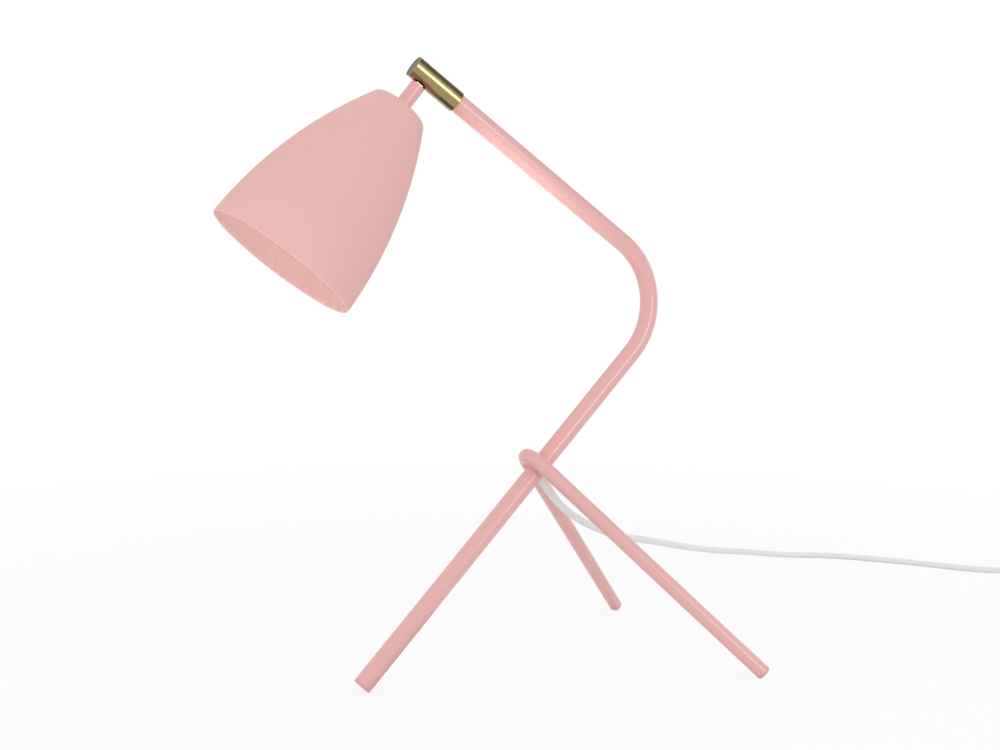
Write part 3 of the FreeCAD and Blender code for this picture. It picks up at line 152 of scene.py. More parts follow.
to_switch_points = [
    RELIEF_END,
    RELIEF_END + EXIT_DIR * 18.2 * MM,
    spot(242.3, 16.6, 94.8),
    spot(291.2, 40.1, 82.6),
    spot(365, 89, 59),
    spot(440, 136, 38),
    spot(516, 179, 19.6),
    spot(586, 208, 3.15),
    spot(640, 180, 3.15),
    spot(697, 112, 3.15),
    spot(738, 52, 3.15),
    spot(751, 27, 7.5),
    spot(751, 2, 7.5),
]
to_plug_points = [
    SWITCH_OUT,
    spot(751, -71, 7.5),
    spot(751.5, -84.7, 3.15),
    *coil_points(COIL_MIDDLE, COIL_TURNS_EACH_WAY, COIL_STEPS),
    spot(751.6, -126.3, 10.05),
    spot(758, -154, 3.15),
    spot(768, -177, 3.15),
    spot(775, -196, 6.85),
    PLUG_IN,
]
lamp_cord = cord_curve("lamp_cord", to_switch_points)
plug_cord = cord_curve("plug_cord", to_plug_points)
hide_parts("cord_to_switch")
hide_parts("cord_to_coil", "cord_coil", "cord_to_plug")
for cord in (lamp_cord, plug_cord):
    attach(cord, "stand")


# ---------------------------------------------------------------- surfaces worked out as whole arrays
def ring_faces(rows, columns, wrap_rows):
    """Four-sided faces of a grid whose columns go round and whose rows may close too."""
    row = np.arange(rows if wrap_rows else rows - 1)[:, None]
    column = np.arange(columns)[None, :]
    next_row = (row + 1) % rows
    next_column = (column + 1) % columns
    corners = (
        row * columns + column,
        row * columns + next_column,
        next_row * columns + next_column,
        next_row * columns + column,
    )
    return np.stack(np.broadcast_arrays(*corners), axis=-1).reshape(-1, 4)


def end_faces(first, middle, columns):
    """Triangles from a ring of points to its middle point."""
    column = np.arange(columns)
    return np.stack([first + column, first + (column + 1) % columns, np.full(columns, middle)], axis=1)


def enclosed(points, faces):
    """Volume inside the faces, which is negative where they point inwards."""
    a, b, c = points[faces[:, 0]], points[faces[:, 1]], points[faces[:, 2]]
    total = np.einsum("ij,ij->", a, np.cross(b, c))
    if faces.shape[1] == 4:
        total += np.einsum("ij,ij->", a, np.cross(c, points[faces[:, 3]]))
    return total


def add_piece(name, grid, closed, body, nodes, crease=40):
    """Mesh of a grid of points, rows by columns by three.

    Its columns go round. Its rows close as well, or else each end is closed on the middle of its ring.
    The faces are turned over together if the volume that they enclose comes out negative.
    """
    rows, columns = grid.shape[:2]
    points = grid.reshape(-1, 3)
    faces = [ring_faces(rows, columns, closed)]
    if not closed:
        middles = np.stack([grid[0].mean(axis=0), grid[-1].mean(axis=0)])
        count = len(points)
        points = np.concatenate([points, middles])
        faces.append(end_faces(0, count, columns)[:, ::-1])
        faces.append(end_faces(count - columns, count + 1, columns))
    volume = sum(enclosed(points - points.mean(axis=0), f) for f in faces)
    if volume < 0:
        faces = [f[:, ::-1] for f in faces]
    mesh = bpy.data.meshes.new(name)
    mesh.from_pydata(points.tolist(), [], [face for f in faces for face in f.tolist()])
    mesh.polygons.foreach_set("use_smooth", np.ones(len(mesh.polygons), dtype=bool))
    mesh.set_sharp_from_angle(angle=math.radians(crease))
    mesh.validate()
    piece = bpy.data.objects.new(name, mesh)
    bpy.context.scene.collection.objects.link(piece)
    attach(piece, body)
    if nodes:
        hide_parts(*nodes)
    return piece


def turned(profile, start, axis, segments, flutes=0, depth=0.0, fluted=None):
    """Surface of revolution of (distance along the axis, radius) pairs round an axis.

    point = start + axis * distance + (side * cos a + cross * sin a) * r, with
    r = radius - depth * weight * (1 + cos(flutes * a)) / 2, where the weight says how fluted each pair is.
    """
    axis = np.asarray(axis) / np.linalg.norm(axis)
    side = np.cross(axis, ALONG_Y)
    side = side / np.linalg.norm(side)
    cross = np.cross(axis, side)
    angle = np.linspace(0, 2 * math.pi, segments, endpoint=False)
    weight = np.zeros(len(profile)) if fluted is None else np.asarray(fluted)
    radius = profile[:, 1:] - depth * weight[:, None] * (1 + np.cos(flutes * angle)) / 2
    around = np.cos(angle)[:, None] * side + np.sin(angle)[:, None] * cross
    return start + axis * profile[:, :1, None] + around * radius[:, :, None]


def straight(a, b, count):
    """Evenly spaced points from a up to b, without b."""
    share = np.linspace(0, 1, count, endpoint=False)[:, None]
    return np.asarray(a) * (1 - share) + np.asarray(b) * share


def swept(centre, radius, first, last, count):
    """Points on an arc in (distance, radius) pairs: centre + radius * (-sin a, cos a)."""
    angle = np.linspace(first, last, count, endpoint=False)
    return np.stack([centre[0] - radius * np.sin(angle), centre[1] + radius * np.cos(angle)], axis=1)


# ---------------------------------------------------------------- shade
PIVOT = np.array([-45.17298, 0, 469.41553]) * MM
SHADE_AXIS = np.array([-0.6179765, 0.0390040, -0.7852285])
SHADE_START = 33.3 * MM
SHADE_LENGTH = 147.6 * MM
SHADE_MOUTH_R = 60.1 * MM
SHADE_TOP_R = 22.2 * MM
SHADE_FLARE = math.radians(1.15)
SHADE_SHOULDER_R = 3.4 * MM
SHADE_WALL = 1.0 * MM
SHADE_HOLE_R = 5.1 * MM
RIM_ROUND = 0.4 * MM
SHADE_SEGMENTS = 224
SIDE_POINTS = 72
CORNER_POINTS = 14
TOP_POINTS = 8
HOLE_POINTS = 3
RIM_POINTS = 10


def shade_side(offset):
    """Outline of the shade's side and shoulder, moved inwards by an offset, from the mouth to the flat top.

    The side is one long arc whose chord runs from the mouth to where it would meet the flat top, and which
    leans outwards by the flare at the mouth. The shoulder is a small arc that touches both.
    """
    across = SHADE_MOUTH_R - SHADE_TOP_R
    chord = math.hypot(across, SHADE_LENGTH)
    outer = chord ** 2 / (2 * (across * math.cos(SHADE_FLARE) - SHADE_LENGTH * math.sin(SHADE_FLARE)))
    mouth = SHADE_START + SHADE_LENGTH
    centre = (mouth + outer * math.sin(SHADE_FLARE), SHADE_MOUTH_R - outer * math.cos(SHADE_FLARE))
    shoulder = SHADE_START + SHADE_SHOULDER_R
    shoulder_out = centre[1] + math.sqrt((outer - SHADE_SHOULDER_R) ** 2 - (centre[0] - shoulder) ** 2)
    join = math.atan2(centre[0] - shoulder, shoulder_out - centre[1])
    rim = math.asin((centre[0] - mouth + RIM_ROUND) / (outer - offset))
    side = swept(centre, outer - offset, rim, join, SIDE_POINTS)
    corner = swept((shoulder, shoulder_out), SHADE_SHOULDER_R - offset, join, math.pi / 2, CORNER_POINTS)
    return np.concatenate([side, corner, [[SHADE_START + offset, shoulder_out]]])


def shade_profile():
    """Closed outline of the wall, from the rim up the outside to the hole and back down the inside.

    The rim is half an ellipse, as deep as its round and as wide as the wall. The places of the
    inside's first and last points are returned too.
    """
    outside, inside = shade_side(0), shade_side(SHADE_WALL)
    top, under = SHADE_START, SHADE_START + SHADE_WALL
    turn = np.linspace(0, math.pi, RIM_POINTS)[1:-1]
    rim_middle = (outside[0] + inside[0]) / 2
    rim_half = (outside[0, 1] - inside[0, 1]) / 2
    rim_along = rim_middle[0] + RIM_ROUND * np.sin(turn)
    rim = np.stack([rim_along, rim_middle[1] - rim_half * np.cos(turn)], axis=1)
    profile = np.concatenate([
        outside,
        straight(outside[-1], (top, SHADE_HOLE_R), TOP_POINTS)[1:],
        straight((top, SHADE_HOLE_R), (under, SHADE_HOLE_R), HOLE_POINTS),
        straight((under, SHADE_HOLE_R), inside[-1], TOP_POINTS),
        inside[::-1],
        rim,
    ])
    last = len(profile) - len(rim)
    return profile, last - len(inside) - TOP_POINTS, last


wall, inside_first, inside_last = shade_profile()
shade_shell = add_piece(
    "shade_shell", turned(wall, PIVOT, SHADE_AXIS, SHADE_SEGMENTS), True, "shade", ["shade"]
)
row_of_face = np.arange(len(shade_shell.data.polygons)) // SHADE_SEGMENTS
# The inside's rows take a paler copy of the pink: painted light that lightens the shade's hollow beyond what
# its lamps give it.
OUTSIDE_COAT, INSIDE_PAINTED_LIGHT_COAT, RIM_PAINTED_SHADE_COAT = 0, 1, 2
coat_of_face = np.full(len(row_of_face), OUTSIDE_COAT, dtype=np.int32)
coat_of_face[row_of_face >= inside_first] = INSIDE_PAINTED_LIGHT_COAT
# The rim's rows take a deeper copy of the pink: painted shade along the mouth's edge.
coat_of_face[row_of_face >= inside_last] = RIM_PAINTED_SHADE_COAT

# ---------------------------------------------------------------- lampholder's skirt
HOLDER_BODY_START = 52.0 * MM
HOLDER_COLLAR_START = 60.1 * MM
HOLDER_BODY_END = 76.0 * MM
HOLDER_IN_CAP_R = 11.85 * MM
HOLDER_COLLAR_R = 12.7 * MM
HOLDER_BORE_R = 7.82 * MM
GRIP_FLUTES = 36
GRIP_DEPTH = 0.45 * MM
HOLDER_SEGMENTS = 288
HOLDER_EDGE_ROUND = 0.8 * MM
HOLDER_LIP = 0.6 * MM
PLAIN_BAND_BELOW = 1.6 * MM
PLAIN_BAND_ABOVE = 3.2 * MM
FLUTE_RUN_OUT = 0.4 * MM


def skirt_profile():
    """Closed outline of the lampholder's skirt, and how deeply each point of it is fluted.

    The collar's outside is fluted between two plain bands, and its mouth is rounded over.
    """
    edge = HOLDER_EDGE_ROUND
    first_flute = HOLDER_COLLAR_START + PLAIN_BAND_BELOW
    last_flute = HOLDER_BODY_END - PLAIN_BAND_ABOVE
    outside = np.array([
        (HOLDER_BODY_START, HOLDER_BORE_R),
        (HOLDER_BODY_START, HOLDER_IN_CAP_R),
        (HOLDER_COLLAR_START, HOLDER_IN_CAP_R),
        (HOLDER_COLLAR_START, HOLDER_COLLAR_R),
        (first_flute, HOLDER_COLLAR_R),
        (first_flute + FLUTE_RUN_OUT, HOLDER_COLLAR_R),
        (last_flute - FLUTE_RUN_OUT, HOLDER_COLLAR_R),
        (last_flute, HOLDER_COLLAR_R),
        (HOLDER_BODY_END - edge, HOLDER_COLLAR_R),
    ])
    turn = np.linspace(0, math.pi / 2, 7)[1:]
    over_along = HOLDER_BODY_END - edge + edge * np.sin(turn)
    over = np.stack([over_along, HOLDER_COLLAR_R - edge + edge * np.cos(turn)], axis=1)
    lip = np.array([
        (HOLDER_BODY_END, HOLDER_BORE_R + HOLDER_LIP),
        (HOLDER_BODY_END - HOLDER_LIP, HOLDER_BORE_R),
    ])
    fluted = np.zeros(len(outside) + len(over) + len(lip))
    fluted[5:7] = 1
    return np.concatenate([outside, over, lip]), fluted


skirt, fluted = skirt_profile()
holder_skirt = add_piece(
    "holder_skirt", turned(skirt, PIVOT, SHADE_AXIS, HOLDER_SEGMENTS, GRIP_FLUTES, GRIP_DEPTH, fluted),
    True, "shade", ["holder_body"], crease=32,
)

# ---------------------------------------------------------------- braze between the loop and the stem
STEM_R = 7.5 * MM
LEG_R = 6.0 * MM
LOOP_R = 13.6 * MM
LEG_SLOPE = math.radians(-47.63)
BRAZE_HALF_ARC = math.radians(62)
BRAZE_ROUND = 1.7 * MM
BRAZE_INTO_METAL = 0.1 * MM
BRAZE_LEAST_ROUND = 0.12 * MM


def braze_grid():
    """Bead of braze in the groove between the loop's rod and the stem, hollow on both sides.

    At each turn t round the stem the bead's section lies in the plane of the stem's axis. Its
    hollow arcs touch the stem and the rod, and have the radius
    q = round * sqrt(1 - (t / half arc)^2) + least round. A hollow's middle is q off the stem and,
    along the stem, sqrt((rod + q)^2 - (rod's distance - stem - q)^2) from the rod's. Inside the
    metal the section follows the rod and the stem a little under their surfaces.
    """
    front = -np.array([math.cos(LEG_SLOPE), 0, math.sin(LEG_SLOPE)])
    turn = np.linspace(-1, 1, 65)[:, None]
    q = BRAZE_ROUND * np.sqrt(np.clip(1 - turn ** 2, 0, 1)) + BRAZE_LEAST_ROUND
    t = turn * BRAZE_HALF_ARC
    to_rod = LOOP_R * (np.cos(t) * front + np.sin(t) * ALONG_Y)
    along = to_rod @ STEM_DIR
    out = to_rod - along[:, None] * STEM_DIR
    away = np.linalg.norm(out, axis=1)[:, None]
    out = out / away
    rise = np.sqrt((LEG_R + q) ** 2 - (away - STEM_R - q) ** 2)
    last = 2 * math.pi - np.arctan2(rise, away - STEM_R - q)
    share = np.linspace(0, 1, 12)[None, :]
    sweep = math.pi + (last - math.pi) * share
    upper_out = STEM_R + q + q * np.cos(sweep)
    upper_rise = rise + q * np.sin(sweep)
    facing = math.pi + (math.pi - last) * np.linspace(-1, 1, 13)[None, 1:-1]
    rod_out = away + (LEG_R - BRAZE_INTO_METAL) * np.cos(facing)
    rod_rise = -(LEG_R - BRAZE_INTO_METAL) * np.sin(facing)
    inner_rise = rise * np.linspace(-1, 1, 8)[None, 1:-1]
    inner_out = np.full_like(inner_rise, STEM_R - BRAZE_INTO_METAL)
    across = np.concatenate([upper_out, rod_out, upper_out[:, ::-1], inner_out], axis=1)
    height = np.concatenate([upper_rise, rod_rise, -upper_rise[:, ::-1], inner_rise], axis=1)
    middle = STEM_DIR * LOOP_UP_STEM + spot(0, 0, 0)
    return middle + out[:, None, :] * across[:, :, None] + STEM_DIR * (height + along[:, None])[:, :, None]


braze_bead = add_piece("braze_bead", braze_grid(), False, "stand", ["leg_braze"])

# ---------------------------------------------------------------- tie round the coil, and the plug
TIE_WIDTH = 7.0 * MM
TIE_THICK = 0.7 * MM
TIE_INSIDE = 6.8 * MM
TIE_SQUARENESS = 4.5
LAP_MIDDLE = 1.45
LAP_HALF_ARC = 0.75
LAP_RUN_OUT = 0.08


def tie_grid():
    """Strap round the coil's four runs of cord, with its end lapped over itself on top.

    Its inner line is |x|^n + |z|^n = 1 at the inside's size, with n its squareness. Its section
    at the angle a is ((cos a)^6 + (sin a)^4)^-0.2 times (cos a, sin a), kept within 1, as wide as
    the strap and as thick, or twice as thick where the end is lapped.
    """
    around = np.linspace(0, 2 * math.pi, 120, endpoint=False)[:, None]
    section = np.linspace(0, 2 * math.pi, 20, endpoint=False)[None, :]
    corner = np.abs(np.cos(around)) ** TIE_SQUARENESS + np.abs(np.sin(around)) ** TIE_SQUARENESS
    reach = corner ** (-1 / TIE_SQUARENESS) * TIE_INSIDE
    lap = np.clip((LAP_HALF_ARC - np.abs(around - LAP_MIDDLE)) / LAP_RUN_OUT, 0, 1)
    thick = TIE_THICK * (1 + lap * lap * (3 - 2 * lap))
    oblong = (np.abs(np.cos(section)) ** 6 + np.abs(np.sin(section)) ** 4) ** -0.2
    out = reach + thick / 2 + thick / 2 * np.clip(oblong * np.sin(section), -1, 1)
    wide = TIE_WIDTH / 2 * np.clip(oblong * np.cos(section), -1, 1)
    bundle = COIL_MIDDLE[0] - (COIL_R - COIL_PITCH)
    x = bundle + out * np.cos(around)
    z = CORD_R + COIL_LIFT + COIL_PITCH / 2 + out * np.sin(around)
    return np.stack([x, np.broadcast_to(COIL_MIDDLE[1] + wide, x.shape), z], axis=-1)


cord_tie = add_piece("cord_tie", tie_grid(), True, "stand", [], crease=60)

PLUG_MIDDLE = spot(775, -238, 6.85)
PLUG_NOSE = 36.0 * MM
PLUG_RELIEF = 26.0 * MM
PLUG_SHOULDER = 23.0 * MM
PLUG_EDGE_ROUND = 1.6 * MM
PLUG_SQUARE_OVER = 10.0 * MM
SLEEVE_THIN_R = 3.6 * MM
SLEEVE_THICK_R = 4.2 * MM
SLEEVE_RING_EVERY = 3.0 * MM
SLEEVE_RING_HEIGHT = 0.28 * MM
NECK_HALF_WIDTH = 6.0 * MM
NECK_HALF_HEIGHT = 4.8 * MM
NOSE_HALF_WIDTH = 17.65 * MM
NOSE_HALF_HEIGHT = 6.85 * MM


def plug_grid():
    """Two-pin plug with its ringed cord sleeve, as sections across its own length.

    Each section is |x / half width|^n + |z / half height|^n = 1. The sleeve is round, n = 2, and
    its radius grows evenly, with rings that are a cosine of the place along it. Over the shoulder
    the half width and half height grow with 3s^2 - 2s^3 to the nose, whose edge is a quarter
    circle, and n grows evenly to 4.5 over the shoulder's first part.
    """
    sleeve = np.linspace(-PLUG_RELIEF, -0.4 * MM, 96)
    shoulder = np.linspace(0, PLUG_SHOULDER, 40)
    edge = PLUG_EDGE_ROUND
    nose = PLUG_NOSE - edge + edge * np.sin(np.linspace(0, math.pi / 2, 8))
    place = np.concatenate([sleeve, shoulder, [PLUG_SHOULDER + 5 * MM], nose])
    grow = np.clip(place / PLUG_SHOULDER, 0, 1)
    grow = grow * grow * (3 - 2 * grow)
    ringed = (place < -1 * MM) & (place > -PLUG_RELIEF + 1.5 * MM)
    ring = SLEEVE_RING_HEIGHT * np.cos(2 * math.pi * place / SLEEVE_RING_EVERY) * ringed
    slim = np.interp(place, [-PLUG_RELIEF, 0], [SLEEVE_THIN_R, SLEEVE_THICK_R]) + ring
    into_edge = np.clip(place - PLUG_NOSE + edge, 0, edge)
    rounded = edge - np.sqrt(np.clip(edge ** 2 - into_edge ** 2, 0, None))
    wide = NECK_HALF_WIDTH + (NOSE_HALF_WIDTH - NECK_HALF_WIDTH) * grow
    high = NECK_HALF_HEIGHT + (NOSE_HALF_HEIGHT - NECK_HALF_HEIGHT) * grow
    half_wide = np.where(place < 0, slim, wide) - rounded
    half_high = np.where(place < 0, slim, high) - rounded
    n = (2 + 2.5 * np.clip(place / PLUG_SQUARE_OVER, 0, 1))[:, None]
    angle = np.linspace(0, 2 * math.pi, 96, endpoint=False)[None, :]
    reach = (np.abs(np.cos(angle)) ** n + np.abs(np.sin(angle)) ** n) ** (-1 / n)
    x = PLUG_MIDDLE[0] + reach * np.cos(angle) * half_wide[:, None]
    z = PLUG_MIDDLE[2] + reach * np.sin(angle) * half_high[:, None]
    return np.stack([x, np.broadcast_to(PLUG_MIDDLE[1] - place[:, None], x.shape), z], axis=-1)


plug_shell = add_piece("plug_shell", plug_grid(), False, "stand", ["plug_body"])


# ---------------------------------------------------------------- shader maths
class Wire:
    """An output socket of a material. Python's operators on it add Math nodes."""

    def __init__(self, finish, socket):
        self.finish = finish
        self.socket = socket

    def _math(self, operation, *values):
        return self.finish.node("ShaderNodeMath", {"operation": operation}, dict(enumerate(values)))

    def __add__(self, other):
        return self._math("ADD", self, other)

    def __sub__(self, other):
        return self._math("SUBTRACT", self, other)

    def __rsub__(self, other):
        return self._math("SUBTRACT", other, self)

    def __mul__(self, other):
        return self._math("MULTIPLY", self, other)

    __radd__ = __add__
    __rmul__ = __mul__

    def clamp(self, low=0.0, high=1.0):
        return self._math("MINIMUM", self._math("MAXIMUM", self, low), high)

    def sine(self):
        return self._math("SINE", self)


class Finish:
    """One procedural material, made from nodes by a few short calls."""

    def __init__(self, name):
        self.material = bpy.data.materials.new(name)
        self.material.use_nodes = True
        self.tree = self.material.node_tree
        self.tree.nodes.clear()
        self.place = self.node("ShaderNodeTexCoord", {}, {}, "Object")

    def node(self, kind, settings, inputs, output=0):
        """Add a node, set what it is first, and then fill its sockets by name or number."""
        made = self.tree.nodes.new(kind)
        for key, value in settings.items():
            setattr(made, key, value)
        for key, value in inputs.items():
            if isinstance(value, Wire):
                self.tree.links.new(value.socket, made.inputs[key])
            else:
                made.inputs[key].default_value = value
        return Wire(self, made.outputs[output])

    def scaled(self, x, y, z):
        """Object coordinates, stretched."""
        return self.node("ShaderNodeVectorMath", {"operation": "MULTIPLY"}, {0: self.place, 1: (x, y, z)})

    def noise(self, scale, detail=2.0, roughness=0.5, where=None):
        """Cloud of values from about 0.3 to 0.7."""
        inputs = {"Vector": where or self.place, "Scale": scale, "Detail": detail, "Roughness": roughness}
        return self.node("ShaderNodeTexNoise", {}, inputs)

    def mix(self, factor, a, b):
        """Colour between a and b."""
        return self.node("ShaderNodeMix", {"data_type": "RGBA"}, {0: factor, 6: a, 7: b}, 2)

    def bump(self, height, distance):
        """Normal raised by a height, where 1 stands for the distance in metres."""
        return self.node("ShaderNodeBump", {}, {"Height": height, "Distance": distance, "Strength": 1.0})

    def surface(self, **inputs):
        """Principled surface as the output. Keys are socket names with _ for a space."""
        named = {key.replace("_", " "): value for key, value in inputs.items()}
        surface = self.node("ShaderNodeBsdfPrincipled", {}, named)
        output = self.tree.nodes.new("ShaderNodeOutputMaterial")
        self.tree.links.new(surface.socket, output.inputs["Surface"])
        return self.material


def srgb(red, green, blue):
    """Linear colour from the 0 to 255 values that a screen shows."""
    values = np.array([red, green, blue]) / 255
    linear = np.where(values <= 0.04045, values / 12.92, ((values + 0.055) / 1.055) ** 2.4)
    return (*[float(v) for v in linear], 1.0)


def toned(colour, share):
    """The colour made lighter or darker by a share of itself."""
    return tuple(min(1, c * share) for c in colour[:3]) + (1.0,)


def powder_paint(name, colour, roughness, grain, scale):
    """Powder paint: an even grain like orange peel and a slow drift of tone and gloss."""
    f = Finish(name)
    slow = f.noise(9, 2)
    fine = f.noise(scale, 2)
    lighter, darker = toned(colour, 1.03), toned(colour, 0.975)
    return f.surface(
        Base_Color=f.mix(slow, darker, lighter),
        Roughness=(slow - 0.5) * 0.08 + (fine - 0.5) * 0.02 + roughness,
        Normal=f.bump(fine, grain),
        Specular_IOR_Level=0.42,
    )


def plain_plastic(name, colour, roughness):
    """Moulded plastic: a fine spark-eroded grain and a slight drift of gloss."""
    f = Finish(name)
    fine = f.noise(1500, 2)
    slow = f.noise(14, 2)
    return f.surface(
        Base_Color=f.mix(slow, toned(colour, 0.96), colour),
        Roughness=(slow - 0.5) * 0.08 + roughness,
        Normal=f.bump(fine, 0.02 * MM),
        Specular_IOR_Level=0.45,
    )


def woven_strap(name, colour):
    """Flat webbing: two crossed sets of fine ribs, over and under in turn."""
    f = Finish(name)
    ribs = 6000
    parts = f.node("ShaderNodeSeparateXYZ", {}, {0: f.scaled(ribs, ribs, ribs)})
    along, across, up = (Wire(f, parts.socket.node.outputs[k]) for k in range(3))
    weave = (along + up).sine() * across.sine()
    return f.surface(
        Base_Color=f.mix((weave * 0.5 + 0.5).clamp(), toned(colour, 0.8), colour),
        Roughness=weave * 0.05 + 0.85,
        Normal=f.bump(weave, 0.08 * MM),
    )


def brushed_metal(name, colour, roughness, along, lines=900, depth=0.004 * MM, lacquer=0.0):
    """Metal brushed round its axis, bare or lacquered: noise drawn out at right angles to it."""
    f = Finish(name)
    axis = tuple(np.array(along) / np.linalg.norm(along))
    distance = f.node("ShaderNodeVectorMath", {"operation": "DOT_PRODUCT"}, {0: f.place, 1: axis}, 1)
    lined = f.node("ShaderNodeCombineXYZ", {}, {"X": distance * lines, "Y": 0.0, "Z": 0.0})
    spread = (40, 40, 40)
    cloud = f.node("ShaderNodeVectorMath", {"operation": "MULTIPLY_ADD"}, {0: f.place, 1: spread, 2: lined})
    brush = f.noise(1.0, 3, 0.6, cloud)
    slow = f.noise(60, 2)
    return f.surface(
        Base_Color=f.mix((brush * 0.6 + slow * 0.4).clamp(), toned(colour, 0.86), colour),
        Metallic=1.0,
        Roughness=(brush - 0.5) * 0.12 + roughness,
        Normal=f.bump(brush, depth),
        Coat_Weight=lacquer,
        Coat_Roughness=0.12,
    )


ARM_SLOPE = math.radians(34.5)
ARM_DIR = (-math.cos(ARM_SLOPE), 0, math.sin(ARM_SLOPE))
MICRON = 0.001 * MM
pink_shade = powder_paint("pink_shade_paint", srgb(234, 184, 178), 0.7, 5 * MICRON, 1800)
# The paler pink for the shade's inside is painted light, a lighter copy of the outside's paint.
pink_inside_painted_light = powder_paint("pink_inside_painted_light_paint", srgb(241, 205, 199), 0.75, 3 * MICRON, 1800)
# The deeper pink for the rim is painted shade. It darkens the edge that the shade's lamp lights most.
pink_rim_painted_shade = powder_paint("pink_rim_painted_shade_paint", srgb(212, 158, 153), 0.6, 3 * MICRON, 1800)
pink_tube = powder_paint("pink_tube_paint", srgb(234, 180, 176), 0.16, 3 * MICRON, 700)
pink_foot = plain_plastic("pink_foot_plastic", srgb(228, 173, 169), 0.5)
brass = brushed_metal(
    "brushed_brass", srgb(161, 143, 96), 0.2, ARM_DIR, lines=1600, depth=1.2 * MICRON, lacquer=0.85
)
steel = brushed_metal("plated_steel", srgb(190, 189, 184), 0.3, (0, 1, 0))
contact = brushed_metal("contact_brass", srgb(206, 178, 120), 0.3, (0, 0, 1))
cord_sheath = plain_plastic("cord_sheath", srgb(238, 240, 238), 0.55)
grey_relief = plain_plastic("relief_plastic", srgb(236, 239, 236), 0.5)
core = plain_plastic("core_insulation", srgb(120, 132, 160), 0.45)
switch_plastic = plain_plastic("switch_plastic", srgb(228, 228, 226), 0.4)
holder = plain_plastic("lampholder_plastic", srgb(236, 234, 228), 0.3)
opal = plain_plastic("opal_bulb_plastic", srgb(240, 238, 232), 0.35)
bulb_metal = brushed_metal("bulb_cap_metal", srgb(200, 200, 200), 0.3, SHADE_AXIS)
black = plain_plastic("pin_sleeve_plastic", srgb(30, 30, 30), 0.45)
strap = woven_strap("tie_webbing", srgb(215, 215, 213))

finishes = {
    "pink_paint": pink_tube,
    "pink_plastic": pink_foot,
    "brass_finish": brass,
    "plated_steel": steel,
    "grey_plastic": grey_relief,
    "cord_plastic": cord_sheath,
    "core_plastic": core,
    "switch_plastic": switch_plastic,
    "holder_plastic": holder,
    "contact_brass": contact,
    "bulb_metal": bulb_metal,
    "bulb_plastic": opal,
    "black_plastic": black,
}
slot_of = {s["node"]: s["material_slot"] for s in frame["record"]["subparts"]}
for name, node in frame["nodes"].items():
    for material_slot in node.material_slots:
        material_slot.material = finishes[slot_of[name]]
new_finishes = (
    (lamp_cord, cord_sheath),
    (plug_cord, cord_sheath),
    (shade_shell, pink_shade),
    (shade_shell, pink_inside_painted_light),
    (shade_shell, pink_rim_painted_shade),
    (holder_skirt, holder),
    (braze_bead, pink_tube),
    (cord_tie, strap),
    (plug_shell, switch_plastic),
)
for piece, finish in new_finishes:
    piece.data.materials.append(finish)
shade_shell.data.polygons.foreach_set("material_index", coat_of_face)


# ---------------------------------------------------------------- floor, backdrop and light
HEAD = (-0.045, 0, 0.47)
MOUTH = (-0.157, 0.007, 0.327)
WORLD_LIGHT = 0.9
FLOOR_HALF = 9.0
FLOOR_GREY = 0.86
SHADOW_FADES_FROM = 0.5
SHADOW_GONE_AT = 1.4
WHITE_NEAR_LAMP = 0.85
WHITE = (1, 1, 1, 1)
WHITE_FOR = ("Is Camera Ray", "Is Glossy Ray", "Is Transmission Ray")


def flat_sheet(name, half_wide, half_high):
    """One rectangle round the origin, facing up, as an object of its own."""
    signs = ((-1, -1), (1, -1), (1, 1), (-1, 1))
    corners = [(x * half_wide, y * half_high, 0) for x, y in signs]
    mesh = bpy.data.meshes.new(name)
    mesh.from_pydata(corners, [], [(0, 1, 2, 3)])
    sheet = bpy.data.objects.new(name, mesh)
    bpy.context.scene.collection.objects.link(sheet)
    return sheet


def add_floor():
    """Flat floor seen as white, which keeps a faint shadow of the lamp near it and none far away.

    The share that is seen as white grows by a smooth step of the distance from the lamp.
    """
    floor = flat_sheet("floor", FLOOR_HALF, FLOOR_HALF)
    f = Finish("white_floor")
    path = f.tree.nodes.new("ShaderNodeLightPath")
    camera_ray, glossy_ray, clear_ray = (Wire(f, path.outputs[name]) for name in WHITE_FOR)
    seen = (camera_ray + glossy_ray + clear_ray).clamp()
    away = f.node("ShaderNodeVectorMath", {"operation": "LENGTH"}, {0: f.place}, 1)
    share = f.node("ShaderNodeMapRange", {"interpolation_type": "SMOOTHSTEP"}, {
        "Value": away, "From Min": SHADOW_FADES_FROM, "From Max": SHADOW_GONE_AT,
        "To Min": WHITE_NEAR_LAMP, "To Max": 1.0,
    })
    matt = f.node("ShaderNodeBsdfDiffuse", {}, {"Color": (FLOOR_GREY, FLOOR_GREY, FLOOR_GREY, 1)})
    white = f.node("ShaderNodeEmission", {}, {"Color": WHITE, "Strength": 1.0})
    both = f.node("ShaderNodeMixShader", {}, {0: seen * share, 1: matt, 2: white})
    output = f.tree.nodes.new("ShaderNodeOutputMaterial")
    f.tree.links.new(both.socket, output.inputs["Surface"])
    floor.data.materials.append(f.material)


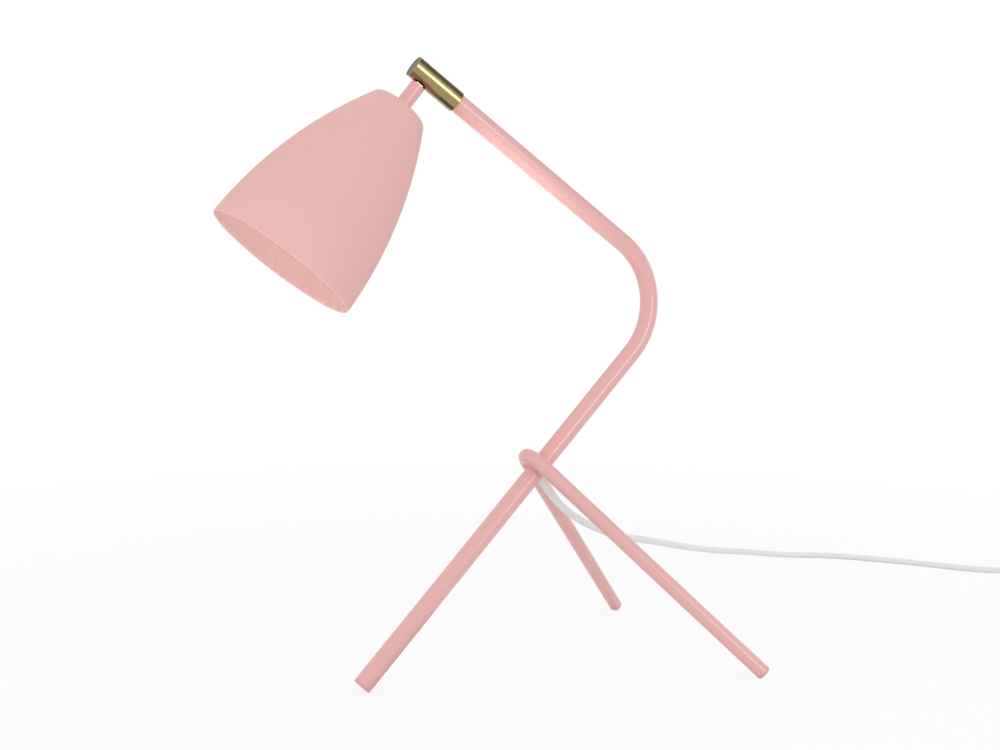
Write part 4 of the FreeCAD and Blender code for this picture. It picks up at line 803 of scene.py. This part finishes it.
def add_world():
    """White where the camera, metal or glass sees it, and a soft grey light elsewhere."""
    world = bpy.data.worlds.new("studio")
    bpy.context.scene.world = world
    world.use_nodes = True
    tree = world.node_tree
    tree.nodes.clear()
    path = tree.nodes.new("ShaderNodeLightPath")
    sides = [tree.nodes.new("ShaderNodeMath") for _ in range(2)]
    for side in sides:
        side.operation = "MAXIMUM"
    tree.links.new(path.outputs[WHITE_FOR[0]], sides[0].inputs[0])
    tree.links.new(path.outputs[WHITE_FOR[1]], sides[0].inputs[1])
    tree.links.new(sides[0].outputs[0], sides[1].inputs[0])
    tree.links.new(path.outputs[WHITE_FOR[2]], sides[1].inputs[1])
    lit = tree.nodes.new("ShaderNodeBackground")
    lit.inputs["Strength"].default_value = WORLD_LIGHT
    seen = tree.nodes.new("ShaderNodeBackground")
    for background in (lit, seen):
        background.inputs["Color"].default_value = WHITE
    mixed = tree.nodes.new("ShaderNodeMixShader")
    output = tree.nodes.new("ShaderNodeOutputWorld")
    tree.links.new(sides[1].outputs[0], mixed.inputs[0])
    tree.links.new(lit.outputs[0], mixed.inputs[1])
    tree.links.new(seen.outputs[0], mixed.inputs[2])
    tree.links.new(mixed.outputs[0], output.inputs["Surface"])


def aimed(place, aim):
    """Turn that points an object's -Z from one place to another."""
    return (Vector(aim) - Vector(place)).to_track_quat("-Z", "Y").to_euler()


def add_softbox(name, place, aim, width, height, power):
    """Rectangular lamp of a size in metres and a power in watts, aimed at a point."""
    data = bpy.data.lights.new(name, "AREA")
    data.shape = "RECTANGLE"
    data.size = width
    data.size_y = height
    data.energy = power
    lamp = bpy.data.objects.new(name, data)
    lamp.location = place
    lamp.rotation_euler = aimed(place, aim)
    bpy.context.scene.collection.objects.link(lamp)
    return lamp


def add_card(name, place, aim, width, height, grey):
    """Grey card beside the camera's view, which only the metal and the gloss of the paint can see."""
    card = flat_sheet(name, width / 2, height / 2)
    card.location = place
    card.rotation_euler = aimed(place, aim)
    f = Finish(name)
    dark = f.node("ShaderNodeEmission", {}, {"Color": (grey, grey, grey, 1), "Strength": 1.0})
    output = f.tree.nodes.new("ShaderNodeOutputMaterial")
    f.tree.links.new(dark.socket, output.inputs["Surface"])
    card.data.materials.append(f.material)
    card.visible_camera = False
    card.visible_diffuse = False
    card.visible_transmission = False
    card.visible_shadow = False


add_floor()
add_world()
front_light = add_softbox("front_light", (-0.5, -1.7, 0.9), (0.05, 0, 0.2), 1.2, 1.2, 3.0)
front_light.visible_glossy = False
stripe_light = add_softbox("stripe_light", (0.535, -1.91, 0.54), HEAD, 0.75, 0.66, 7.0)
stripe_light.visible_diffuse = False
shade_light = add_softbox("shade_light", (-0.336, 0.018, 0.1), MOUTH, 0.28, 0.28, 0.24)
shade_light.data.spread = math.radians(42)
shade_light.visible_glossy = False
shade_light.visible_camera = False
add_card("dark_card_above", (0.83, -0.07, 1.29), HEAD, 1.5, 1.1, 0.26)
add_card("dark_card_below", (-0.225, 0.137, 0.003), (-0.225, 0.137, 1.0), 0.5, 0.4, 0.2)
add_card("grey_card_behind", (-0.017, 1.087, 0.976), HEAD, 0.7, 0.5, 0.35)
bpy.context.scene.view_settings.view_transform = "Standard"

bpy.context.view_layer.update()
